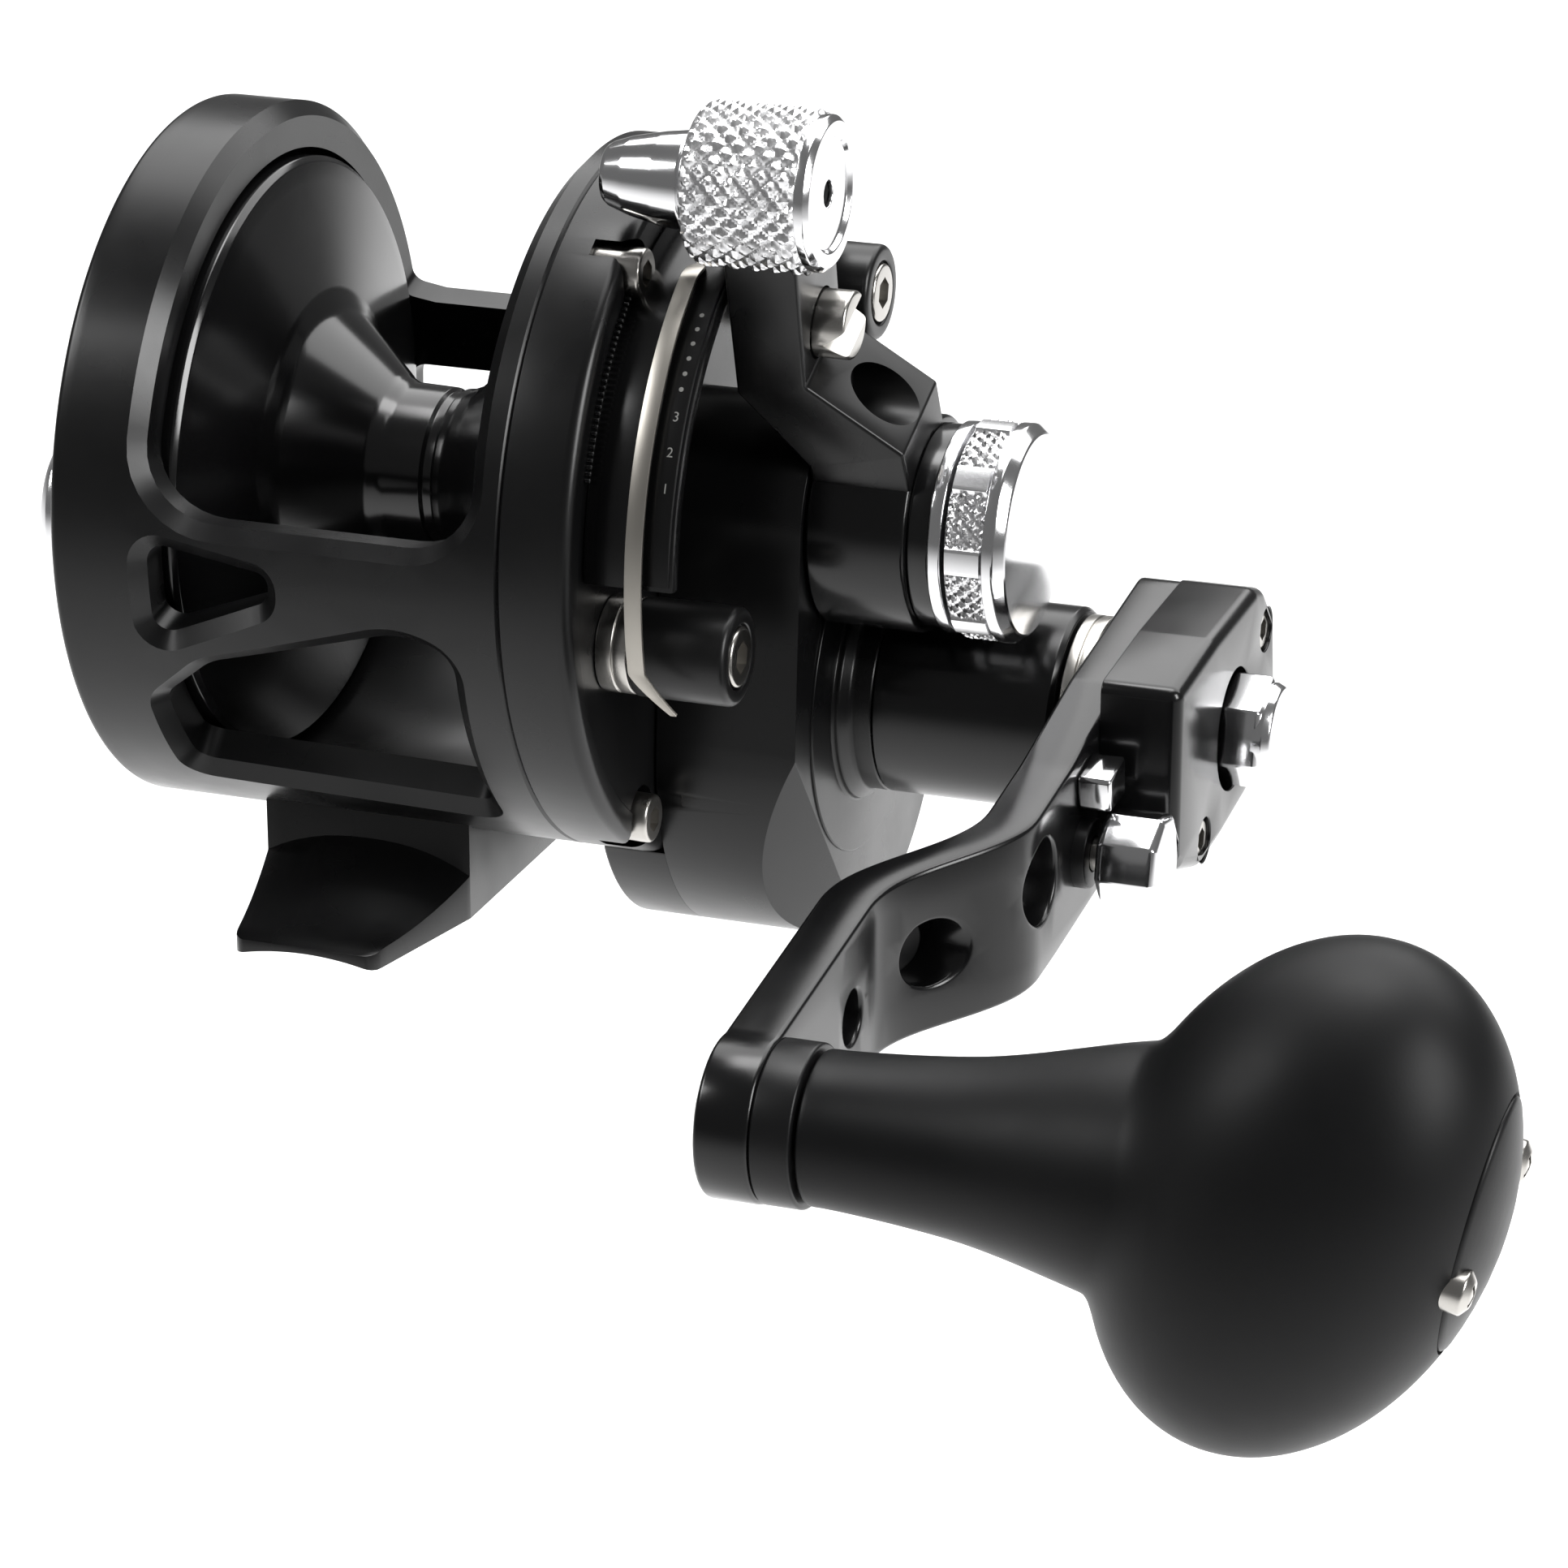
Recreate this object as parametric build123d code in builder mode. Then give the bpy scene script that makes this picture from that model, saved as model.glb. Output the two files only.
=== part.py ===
from build123d import *
import math
import os

os.makedirs("parts", exist_ok=True)

# Trolling reel, narrow two-speed lever drag, right-hand wind. Millimetres.
# Origin: centre of the foot's underside. +X runs from the left plate to the handle,
# -Y faces the angler, +Z is up. Axial positions below are counted along X from the
# outer face of the left plate, and y, z from the spool axis.
LEFT_X = -23.3
AXIS_Z = 38.0
FIT = 0.03
GAP = 0.3
HEX = 6

# --- frame
FRAME_R = 33.0
FRAME_LEN = 43.5
FRAME_BORE_R = 28.7
FRAME_EDGE_R = 1.6
PLATE_T = 3.0
PLATE_BOSS_R = 6.5
PLATE_BOSS_END = 5.0
WINDOW_CORNER_R = 2.4
BIG_CORNER_R = 4.0
WALL_REACH = 40.0
FRONT_TOP_WINDOW = ((7.4, 40.0), (7.4, 5.4), (14.5, 2.3), (31.0, 2.3), (41.0, 8.4), (41.0, 40.0))
BACK_TOP_WINDOW = ((7.4, 40.0), (7.4, 10.0), (13.0, 7.0), (35.0, 7.0), (41.0, 10.0), (41.0, 40.0))
FRONT_SMALL_WINDOW = ((7.8, 2.7), (21.8, 0.35), (21.8, -4.0), (7.8, -10.4))
FRONT_LOW_WINDOW = ((7.4, -24.9), (7.4, -14.6), (13.4, -9.9), (33.0, -3.4), (39.3, -6.6), (39.3, -26.2))
BACK_LOW_WINDOW = ((7.6, 1.8), (39.6, 1.8), (39.6, -22.0), (7.6, -22.0))

# --- foot
FOOT_MID_X = 23.0
FOOT_POST_Y = 16.3
FOOT_TIP_Y = 31.3
FOOT_POST_W = 20.5
FOOT_TIP_W = 13.8
FOOT_TIP_T = 1.8
FOOT_SCOOP_Z = 5.6
FOOT_SCOOP_R = 22.0
FOOT_TIP_R = 4.0
FOOT_HOLLOW_R = 28.0
FOOT_HOLLOW = 0.86
FOOT_SCREW_Y = 9.0
FOOT_SCREW_DX = 6.0
FOOT_SCREW_R = 1.5
FOOT_SCREW_HEAD_R = 2.8
FOOT_SCREW_HEAD_T = 2.2
FOOT_SCREW_TOP = -30.2

# --- clicker
CLICK_Y = -20.0
CLICK_Z = 0.0
CLICK_R = 7.3
CLICK_T = 3.9
CLICK_EDGE = 0.9
CLICK_STEM_R = 2.0
CLICK_STEM_END = 7.2
PAWL_HUB_R = 3.2
PAWL_NOSE_R = 0.9
PAWL_REACH = 7.6
PAWL_X = 6.0
PAWL_T = 1.2
CLICK_GEAR_X = 5.9
CLICK_GEAR_T = 1.6
CLICK_GEAR_R = 10.6
CLICK_GEAR_ROOT = 9.6
CLICK_GEAR_TEETH = 24
CLICK_GEAR_BORE = 7.0

# --- spool and its shaft
SHAFT_R = 3.0
SHAFT_X = 1.5
SHAFT_STEP_X = 40.2
SHAFT_THIN_R = 2.0
SHAFT_END_X = 80.0
BEARING_R = 6.0
BEARING_T = 4.0
SHIELD_RING = 0.7
SHIELD_T = 0.3
SPOOL_HALF = (
    (5.4, 28.0), (9.7, 28.0), (10.0, 27.5), (12.8, 15.0), (20.5, 7.8),
    (25.4, 7.7), (25.8, 7.4), (26.2, 7.7), (28.1, 7.8), (35.8, 15.0), (38.6, 27.5), (38.9, 28.0),
    (43.2, 28.0), (43.2, 26.4), (40.4, 26.4), (40.4, 14.0), (37.8, 13.0), (37.8, 6.0),
    (33.8, 6.0), (33.8, 4.6), (13.0, 4.6), (13.0, 6.0), (5.8, 6.0), (5.8, 7.0), (7.6, 7.0),
    (7.6, 15.0), (8.0, 16.0), (8.0, 26.4), (5.4, 26.4),
)
LEFT_BEARING_X = 9.0
RIGHT_BEARING_X = 33.8
DRAG_WASHER_X = 40.4
DRAG_WASHER_T = 1.5
DRAG_WASHER_IN = 15.0
DRAG_WASHER_OUT = 26.0
DRAG_DISC_X = 41.9
DRAG_DISC_END = 43.2
DRAG_DISC_R = 25.6
DRAG_HUB_R = 6.2
DRAG_HUB_END = 44.8
BELLEVILLE_X = 37.9
BELLEVILLE_END = 40.3
BELLEVILLE_R = 6.4
BELLEVILLE_WAVES = 3
BELLEVILLE_STEP = 0.6
BELLEVILLE_FIT = 0.1

# --- right side plate
SIDE_X = 43.5
SIDE_END = 50.2
SIDE_EDGE_R = 1.5
SIDE_POCKET_R = 26.5
SIDE_POCKET_END = 45.2
SIDE_SCREW_R = 30.2
SIDE_SCREW_ANGLES = (58.5, -59.5, 122.0, 168.0)
SCREW_HEAD_R = 2.2
SCREW_HEAD_X = 49.4
SCREW_HEAD_END = 51.3
SCREW_SHANK_R = 1.1
SCREW_SHANK_X = 41.4
SOCKET_FLAT = 1.1
SOCKET_DEPTH = 1.2
PINION_BEARING_X = 45.8
PINION_BEARING_R = 7.0

# --- gears, module 0.5, centre distance 21.0
MODULE = 0.5
HANDLE_Y = 8.0
HANDLE_Z = -19.42
HIGH_MAIN_TEETH = 70
HIGH_PINION_TEETH = 14
LOW_MAIN_TEETH = 58
LOW_PINION_TEETH = 26
PRESSURE_ANGLE = 20.0
BACKLASH = 0.09
ADDENDUM = 0.85
DEDENDUM = 1.25
ROOT_STEP = 0.05
SAW_DROP = 0.85
LOW_X = 52.0
HIGH_X = 56.2
GEAR_T = 3.0
GEAR_HUB_R = 5.2
GEAR_HOLE_R = 2.6
GEAR_HOLE_RING = 10.6
GEAR_HOLES = 6
PINION_X = 40.3
PINION_END = 59.7
PINION_SLEEVE_R = 4.0
PINION_NECK_R = 2.8

# --- gear housing
HOUSING_X = 50.2
HOUSING_END = 63.7
HOUSING_WRAP_X = 44.0
BOSS_R = 10.4
LOBE_Y = 9.5
LOBE_Z = -22.5
LOBE_R = 21.5
CAVITY_R = 18.3
CAVITY_PINION_R = 8.0
CAVITY_END = 60.0
CHAMFER_FACE = ((-12.0, -20.1), (0.8, -36.5))
CHAMFER_DROP = 4.3
CHAMFER_RUN = 6.05
SCREW_NOTCH_R = 3.6
HOUSING_NECK_R = 9.6
HOUSING_FLANGE_R = 10.6
HOUSING_FLANGE_T = 1.0
SEAM_X = 67.4
COVER_END = 84.7
COVER_BORE_R = 4.4
COVER_SPIGOT_R = 7.5
COVER_SPIGOT_X = 64.6
OUTER_BEARING_X = 80.4
INNER_BEARING_X = 46.2

# --- anti-reverse
RATCHET_X = 50.5
RATCHET_T = 1.2
RATCHET_R = 9.0
RATCHET_ROOT = 7.8
RATCHET_TEETH = 16
DOG_PIN_RING = 13.6
DOG_PIN_R = 1.2
DOG_PIN_X = 47.0
DOG_EYE_R = 2.3
DOG_NOSE_R = 0.7
DOG_NOSE_RING = 10.1
DOG_NOSE_ANGLE = -145.0

# --- quadrant
PLATE_R = 29.0
PLATE_WALL = 1.6
PLATE_END = 58.5
PLATE_FROM = 2.0
PLATE_TO = 124.0
STRIP_R = 30.4
STRIP_T = 0.4
STRIP_X = 54.5
STRIP_END = 56.1
STRIP_FROM = -14.0
STRIP_TO = 62.0
STRIP_TAB = 1.2
POSTS = ((-22.0, -6.8), (16.5, 16.2))
POST_COLLAR_R = 4.4
POST_COLLAR_END = 53.0
POST_SLEEVE_R = 4.5
POST_SLEEVE_END = 60.7
POST_END = 62.3
POST_HEAD_R = 2.9
POST_SHANK_R = 1.5
POST_SHANK_X = 46.0

# --- drag lever, at rest in the strike position
LEVER_ANGLE = 65.4
LEVER_HALF_W = 5.2
LEVER_HUB_R = 10.0
LEVER_HUB_X = 64.0
LEVER_HUB_END = 73.3
LEVER_HUB_BORE = 4.6
LEVER_ARM = (
    (59.3, 38.0), (59.3, 14.8), (63.0, 11.9), (64.0, 11.0), (64.0, 6.5), (73.3, 6.5),
    (73.3, 9.6), (67.0, 14.4), (65.7, 16.4), (65.7, 38.0),
)
KNOB_RING = 38.0
KNOB_R = 7.2
KNOB_X = 56.7
KNOB_END = 67.7
KNOB_CAP_END = 68.7
KNOB_CAP_R = 6.3
NOSE_PROFILE = ((47.8, 0.0), (47.8, 2.7), (50.0, 3.5), (53.0, 4.2), (56.7, 4.6), (56.7, 0.0))
KNURL_N = 36
KNURL_DEPTH = 0.35
KNURL_ANGLE = 45.0
STRIKE_RING = 23.05
STRIKE_R = 3.1
STRIKE_X = 65.4
STRIKE_END = 67.7
STRIKE_STEM_R = 1.6
STRIKE_STEM_X = 60.6
STRIKE_POCKET_X = 64.1
CAM_SLEEVE_R = 4.5
CAM_SLEEVE_X = 60.0
CAM_SLEEVE_END = 72.0

# --- drag preset
HUB_RING_R = 9.3
HUB_RING_END = 75.4
PRESET_RING_R = 9.7
PRESET_RING_END = 76.6
PRESET_X = 76.9
PRESET_BAND_END = 80.5
PRESET_END = 82.2
PRESET_R = 10.0
PRESET_RIBS = 40
PRESET_CAP_R = 9.2
PRESET_FACE_END = 82.6

# --- handle shaft and crank
SHAFT2_R = 3.0
SHAFT2_X = 46.4
SHAFT2_END = 97.0
SHAFT2_BORE = 1.3
SHAFT2_BORE_X = 57.0
SHAFT2_COLLAR_R = 4.4
SHAFT2_COLLAR_X = 84.4
SPACER_R = 9.0
SPACER_X = 85.0
ARM_X = 87.3
ARM_T = 4.8
ARM_DROP = 9.1
BEND_IN_Y = 29.0
BEND_OUT_Y = 45.0
BEND_R = 9.0
PIVOT_Y = -70.3
PIVOT_Z = -28.1
PIVOT_R = 7.0
ARM_OUTLINE = (
    (18.0, -9.0), (-4.3, -11.8), (-18.9, -14.7), (-47.0, -18.3), (-69.3, -21.2),
    (-71.0, -35.07), (-22.7, -31.0), (-9.3, -29.5), (4.7, -29.3), (15.1, -28.0),
    (22.0, -22.0), (22.4, -13.0),
)
ARM_HOLES = ((-26.8, -22.4, 3.9), (-51.2, -26.7, 2.4))
BEND_HOLE_Y = -37.0
BEND_HOLE_Z = -24.0
BEND_HOLE_R = 3.8
BLOCK_END = 99.5
BLOCK_EDGE = 0.7
BLOCK_OUTLINE = (
    (-10.5, -9.5), (1.4, -8.5), (15.0, -8.1), (17.9, -9.0), (21.7, -12.9), (22.6, -20.5),
    (15.1, -27.6), (4.7, -29.0), (-2.0, -29.5), (-8.8, -27.3), (-10.8, -26.0),
)
BLOCK_SCREWS = ((18.3, -13.2), (-1.4, -26.9))
BLOCK_SCREW_R = 1.9
BLOCK_RECESS_R = 5.3
SHIFT_R = 4.6
SHIFT_X = 99.3
SHIFT_END = 104.0
SHIFT_ROD_R = 1.25
SHIFT_ROD_X = 60.0
RELEASE_Y = -15.5
RELEASE_Z = -23.8
RELEASE_R = 4.3
RELEASE_FLATS = 8
RELEASE_X = 94.4
RELEASE_END = 100.0
RELEASE_NECK_R = 3.2
RELEASE_NECK_END = 93.4
RELEASE_STEM_R = 1.6
RELEASE_STEM_X = 88.6
LATCH = ((-12.6, -15.2), (-17.4, -16.0), (-17.0, -19.2), (-12.4, -19.0))
LATCH_END = 95.2

# --- power knob
SPINDLE_R = 2.5
SPINDLE_X = 77.2
SPINDLE_HEAD_R = 4.2
SPINDLE_END = 137.5
COLLAR_X = 83.0
COLLAR_END = 86.5
COLLAR_R = 6.9
GRIP_X = 86.8
GRIP_NECK = ((86.8, 6.5), (93.0, 6.8), (100.0, 7.6), (105.0, 8.5), (109.0, 9.4), (114.0, 10.0))
GRIP_NECK_END = 120.0
EGG_X = 127.3
EGG_HALF = 16.5
EGG_LONG = 22.4
EGG_SHORT = 15.0
EGG_TILT = 11.0
EGG_TURN = 85.7
EGG_STATIONS = (-0.985, -0.93, -0.83, -0.68, -0.5, -0.28, 0.0, 0.26, 0.48, 0.66, 0.8)
GRIP_BORE_R = 3.4
GRIP_BEARING_R = 5.0
GRIP_BEARING_A = 87.4
GRIP_BEARING_B = 129.0
GRIP_NUT_R = 4.2
GRIP_NUT_X = 133.3
GRIP_NUT_END = 136.8
GRIP_CHAMBER_R = 5.6
CAP_LONG = 10.4
CAP_SHORT = 7.8
CAP_T = 1.7
CAP_SCREWS = ((3.6, -5.6), (-3.6, 5.6))
CAP_SCREW_R = 1.8


def face_at(x, y=0.0, z=0.0):
    return Plane(origin=(LEFT_X + x, y, AXIS_Z + z), x_dir=(0, 1, 0), z_dir=(1, 0, 0))


def section(y=0.0, z=0.0):
    return Plane(origin=(LEFT_X, y, AXIS_Z + z), x_dir=(1, 0, 0), z_dir=(0, -1, 0))


def spin_axis(y=0.0, z=0.0):
    return Axis((LEFT_X, y, AXIS_Z + z), (1, 0, 0))


def polar(radius, angle):
    # angle from the front horizontal, rising
    a = math.radians(angle)
    return (-radius * math.cos(a), radius * math.sin(a))


def arc_band(outer, inner, start, end, steps=24):
    span = [start + (end - start) * i / steps for i in range(steps + 1)]
    return [polar(outer, a) for a in span] + [polar(inner, a) for a in reversed(span)]


def gear_points(teeth, centre_angle):
    # involute flanks, thinned at the pitch circle for running backlash
    pitch_r = MODULE * teeth / 2
    pressure = math.radians(PRESSURE_ANGLE)
    base_r = pitch_r * math.cos(pressure)
    tip_r = pitch_r + ADDENDUM * MODULE
    root_r = pitch_r - DEDENDUM * MODULE
    half = (math.pi * MODULE / 2 - BACKLASH) / 2 / pitch_r
    inv_pitch = math.tan(pressure) - pressure
    foot_r = max(base_r, root_r + ROOT_STEP)
    radii = [foot_r, (foot_r + pitch_r) / 2, (pitch_r + tip_r) / 2, tip_r]
    flank = []
    for r in radii:
        a = math.acos(min(1.0, base_r / r))
        flank.append((r, half + inv_pitch - (math.tan(a) - a)))
    tooth = [(root_r, -flank[0][1])] + [(r, -w) for r, w in flank]
    tooth += [(r, w) for r, w in reversed(flank)] + [(root_r, flank[0][1])]
    points = []
    for i in range(teeth):
        mid = math.radians(centre_angle) + 2 * math.pi * i / teeth
        points += [(r * math.cos(mid + w), r * math.sin(mid + w)) for r, w in tooth]
    return points


def saw_points(teeth, tip_r, root_r):
    points = []
    for i in range(teeth):
        a = 2 * math.pi * i / teeth
        b = 2 * math.pi * (i + SAW_DROP) / teeth
        points.append((tip_r * math.cos(a), tip_r * math.sin(a)))
        points.append((root_r * math.cos(b), root_r * math.sin(b)))
    return points


MESH_ANGLE = math.degrees(math.atan2(HANDLE_Z, HANDLE_Y))
LEVER_UP = (0.0, -math.cos(math.radians(LEVER_ANGLE)), math.sin(math.radians(LEVER_ANGLE)))
LEVER_PLANE = Plane(
    origin=(LEFT_X, 0, AXIS_Z), x_dir=(1, 0, 0), z_dir=(0, -LEVER_UP[2], LEVER_UP[1])
)
KNOB_Y, KNOB_Z = polar(KNOB_RING, LEVER_ANGLE)
STRIKE_Y, STRIKE_Z = polar(STRIKE_RING, LEVER_ANGLE)
SIDE_SCREWS = [polar(SIDE_SCREW_R, a) for a in SIDE_SCREW_ANGLES]
FOOT_SCREWS = [(FOOT_MID_X + i * FOOT_SCREW_DX, j * FOOT_SCREW_Y) for i in (-1, 1) for j in (-1, 1)]


# frame: left plate, crossbars and right ring in one piece
with BuildPart() as frame:
    with BuildSketch(face_at(0)):
        Circle(FRAME_R)
    extrude(amount=FRAME_LEN)
    fillet(frame.edges().group_by(Axis.X)[0], FRAME_EDGE_R)
    with BuildSketch(face_at(PLATE_T)):
        Circle(FRAME_BORE_R)
    extrude(amount=FRAME_LEN - PLATE_T, mode=Mode.SUBTRACT)
    with BuildSketch(face_at(PLATE_T)):
        Circle(PLATE_BOSS_R)
    extrude(amount=PLATE_BOSS_END - PLATE_T)
    with BuildSketch(face_at(SHAFT_X)):
        Circle(SHAFT_R + FIT)
    extrude(amount=PLATE_BOSS_END - SHAFT_X, mode=Mode.SUBTRACT)
    with BuildSketch(face_at(0, CLICK_Y, CLICK_Z)):
        Circle(CLICK_STEM_R + FIT)
    extrude(amount=PLATE_T, mode=Mode.SUBTRACT)
    with BuildSketch(section()):
        top = Polygon(*FRONT_TOP_WINDOW, align=None)
        fillet(top.vertices().filter_by(lambda v: v.Z < AXIS_Z + BOSS_R), BIG_CORNER_R)
    extrude(amount=WALL_REACH, mode=Mode.SUBTRACT)
    with BuildSketch(section()):
        small = Polygon(*FRONT_SMALL_WINDOW, align=None)
        fillet(small.vertices(), WINDOW_CORNER_R / 2)
    extrude(amount=WALL_REACH, mode=Mode.SUBTRACT)
    with BuildSketch(section()):
        low = Polygon(*FRONT_LOW_WINDOW, align=None)
        fillet(low.vertices(), WINDOW_CORNER_R)
    extrude(amount=WALL_REACH, mode=Mode.SUBTRACT)
    with BuildSketch(section()):
        back = Polygon(*BACK_TOP_WINDOW, align=None)
        fillet(back.vertices().filter_by(lambda v: v.Z < AXIS_Z + BOSS_R), WINDOW_CORNER_R)
    extrude(amount=-WALL_REACH, mode=Mode.SUBTRACT)
    with BuildSketch(section()):
        rear = Polygon(*BACK_LOW_WINDOW, align=None)
        fillet(rear.vertices(), WINDOW_CORNER_R)
    extrude(amount=-WALL_REACH, mode=Mode.SUBTRACT)
    with BuildSketch(face_at(SCREW_SHANK_X - GAP)):
        with Locations(*SIDE_SCREWS):
            Circle(SCREW_SHANK_R + FIT)
    extrude(amount=FRAME_LEN, mode=Mode.SUBTRACT)
    with BuildSketch(Plane.XY):
        with Locations(*[(LEFT_X + x, y) for x, y in FOOT_SCREWS]):
            Circle(FOOT_SCREW_R + FIT)
    extrude(amount=AXIS_Z + FOOT_SCREW_TOP + GAP, mode=Mode.SUBTRACT)
frame.part.label = "frame"
export_step(frame.part, "parts/frame.step")

# reel foot: saddle post with two tapered ends
with BuildPart() as reel_foot:
    with BuildSketch(Plane.XY):
        with BuildLine():
            Polyline(
                (LEFT_X + FOOT_MID_X - FOOT_POST_W / 2, -FOOT_POST_Y),
                (LEFT_X + FOOT_MID_X - FOOT_TIP_W / 2, -FOOT_TIP_Y),
                (LEFT_X + FOOT_MID_X + FOOT_TIP_W / 2, -FOOT_TIP_Y),
                (LEFT_X + FOOT_MID_X + FOOT_POST_W / 2, -FOOT_POST_Y),
                (LEFT_X + FOOT_MID_X + FOOT_POST_W / 2, FOOT_POST_Y),
                (LEFT_X + FOOT_MID_X + FOOT_TIP_W / 2, FOOT_TIP_Y),
                (LEFT_X + FOOT_MID_X - FOOT_TIP_W / 2, FOOT_TIP_Y),
                (LEFT_X + FOOT_MID_X - FOOT_POST_W / 2, FOOT_POST_Y),
                close=True,
            )
        make_face()
    extrude(amount=AXIS_Z - FRAME_R * math.cos(math.asin(FOOT_POST_Y / FRAME_R)))
    tips = reel_foot.edges().filter_by(Axis.Z).filter_by(lambda e: abs(e.center().Y) > FOOT_TIP_Y - 1)
    fillet(tips, FOOT_TIP_R)
    for side in (-1, 1):
        with BuildSketch(Plane.YZ):
            with BuildLine():
                start = (side * FOOT_POST_Y, AXIS_Z)
                knee = (side * FOOT_POST_Y, FOOT_SCOOP_Z)
                tip = (side * (FOOT_TIP_Y + 1), FOOT_TIP_T)
                Line(start, knee)
                RadiusArc(knee, tip, side * FOOT_SCOOP_R)
                Line(tip, (side * (FOOT_TIP_Y + 1), AXIS_Z))
                Line((side * (FOOT_TIP_Y + 1), AXIS_Z), start)
            make_face()
        extrude(amount=FOOT_POST_W, both=True, mode=Mode.SUBTRACT)
    with BuildSketch(face_at(0)):
        Circle(FRAME_R)
    extrude(amount=FRAME_LEN, mode=Mode.SUBTRACT)
    with BuildSketch(Plane.XZ):
        with Locations((LEFT_X + FOOT_MID_X, FOOT_HOLLOW - FOOT_HOLLOW_R)):
            Circle(FOOT_HOLLOW_R)
    extrude(amount=FOOT_TIP_Y + FOOT_TIP_R, both=True, mode=Mode.SUBTRACT)
    with BuildSketch(Plane.XY):
        with Locations(*[(LEFT_X + x, y) for x, y in FOOT_SCREWS]):
            Circle(FOOT_SCREW_R + FIT)
    extrude(amount=AXIS_Z, mode=Mode.SUBTRACT)
    with BuildSketch(Plane.XY):
        with Locations(*[(LEFT_X + x, y) for x, y in FOOT_SCREWS]):
            Circle(FOOT_SCREW_HEAD_R + FIT)
    extrude(amount=FOOT_SCREW_HEAD_T + GAP, mode=Mode.SUBTRACT)
reel_foot.part.label = "reel_foot"
export_step(reel_foot.part, "parts/reel_foot.step")

# foot screws: four socket heads sunk into the underside
with BuildPart() as foot_screws:
    with BuildSketch(Plane.XY.offset(GAP)):
        with Locations(*[(LEFT_X + x, y) for x, y in FOOT_SCREWS]):
            Circle(FOOT_SCREW_HEAD_R)
    extrude(amount=FOOT_SCREW_HEAD_T)
    with BuildSketch(Plane.XY.offset(GAP)):
        with Locations(*[(LEFT_X + x, y) for x, y in FOOT_SCREWS]):
            Circle(FOOT_SCREW_R)
    extrude(amount=AXIS_Z + FOOT_SCREW_TOP - GAP)
    with BuildSketch(Plane.XY.offset(GAP)):
        with Locations(*[(LEFT_X + x, y) for x, y in FOOT_SCREWS]):
            RegularPolygon(SOCKET_FLAT, HEX)
    extrude(amount=SOCKET_DEPTH, mode=Mode.SUBTRACT)
foot_screws.part.label = "foot_screws"
export_step(foot_screws.part, "parts/foot_screws.step")

# clicker knob with its stem
with BuildPart() as clicker_knob:
    with BuildSketch(face_at(-GAP, CLICK_Y, CLICK_Z)):
        Circle(CLICK_R)
    extrude(amount=-CLICK_T)
    chamfer(clicker_knob.edges().group_by(Axis.X)[0], CLICK_EDGE)
    with BuildSketch(face_at(-GAP, CLICK_Y, CLICK_Z)):
        Circle(CLICK_STEM_R)
    extrude(amount=CLICK_STEM_END + GAP)
clicker_knob.part.label = "clicker_knob"
export_step(clicker_knob.part, "parts/clicker_knob.step")

# click pawl on the stem, parked short of the click gear
with BuildPart() as click_pawl:
    with BuildSketch(face_at(PAWL_X, CLICK_Y, CLICK_Z)):
        Circle(PAWL_HUB_R)
        with Locations((0, PAWL_REACH)):
            Circle(PAWL_NOSE_R)
        make_hull()
        Circle(CLICK_STEM_R, mode=Mode.SUBTRACT)
    extrude(amount=PAWL_T)
click_pawl.part.label = "click_pawl"
export_step(click_pawl.part, "parts/click_pawl.step")

# click gear on the spool hub
with BuildPart() as click_gear:
    with BuildSketch(face_at(CLICK_GEAR_X)):
        Circle(CLICK_GEAR_ROOT)
        with PolarLocations(CLICK_GEAR_ROOT, CLICK_GEAR_TEETH):
            Rectangle(2 * (CLICK_GEAR_R - CLICK_GEAR_ROOT), 1.0)
        Circle(CLICK_GEAR_BORE, mode=Mode.SUBTRACT)
    extrude(amount=CLICK_GEAR_T)
click_gear.part.label = "click_gear"
export_step(click_gear.part, "parts/click_gear.step")

# spool
with BuildPart() as spool:
    with BuildSketch(section()):
        Polygon(*SPOOL_HALF, align=None)
    revolve(axis=spin_axis())
spool.part.label = "spool"
export_step(spool.part, "parts/spool.step")

# spool bearings
with BuildPart() as left_bearing:
    with BuildSketch(face_at(LEFT_BEARING_X)):
        Circle(BEARING_R)
        Circle(SHAFT_R + FIT, mode=Mode.SUBTRACT)
    extrude(amount=BEARING_T)
    with BuildSketch(face_at(LEFT_BEARING_X)):
        Circle(BEARING_R - SHIELD_RING)
        Circle(SHAFT_R + SHIELD_RING, mode=Mode.SUBTRACT)
    extrude(amount=SHIELD_T, mode=Mode.SUBTRACT)
left_bearing.part.label = "left_bearing"
export_step(left_bearing.part, "parts/left_bearing.step")

with BuildPart() as right_bearing:
    with BuildSketch(face_at(RIGHT_BEARING_X)):
        Circle(BEARING_R)
        Circle(SHAFT_R + FIT, mode=Mode.SUBTRACT)
    extrude(amount=BEARING_T)
    with BuildSketch(face_at(RIGHT_BEARING_X + BEARING_T)):
        Circle(BEARING_R - SHIELD_RING)
        Circle(SHAFT_R + SHIELD_RING, mode=Mode.SUBTRACT)
    extrude(amount=-SHIELD_T, mode=Mode.SUBTRACT)
right_bearing.part.label = "right_bearing"
export_step(right_bearing.part, "parts/right_bearing.step")

# spool shaft: fixed, the spool and pinions turn on it
with BuildPart() as spool_shaft:
    with BuildSketch(face_at(SHAFT_X)):
        Circle(SHAFT_R)
    extrude(amount=SHAFT_STEP_X - SHAFT_X)
    with BuildSketch(face_at(SHAFT_STEP_X)):
        Circle(SHAFT_THIN_R)
    extrude(amount=SHAFT_END_X - SHAFT_STEP_X)
spool_shaft.part.label = "spool_shaft"
export_step(spool_shaft.part, "parts/spool_shaft.step")

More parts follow.
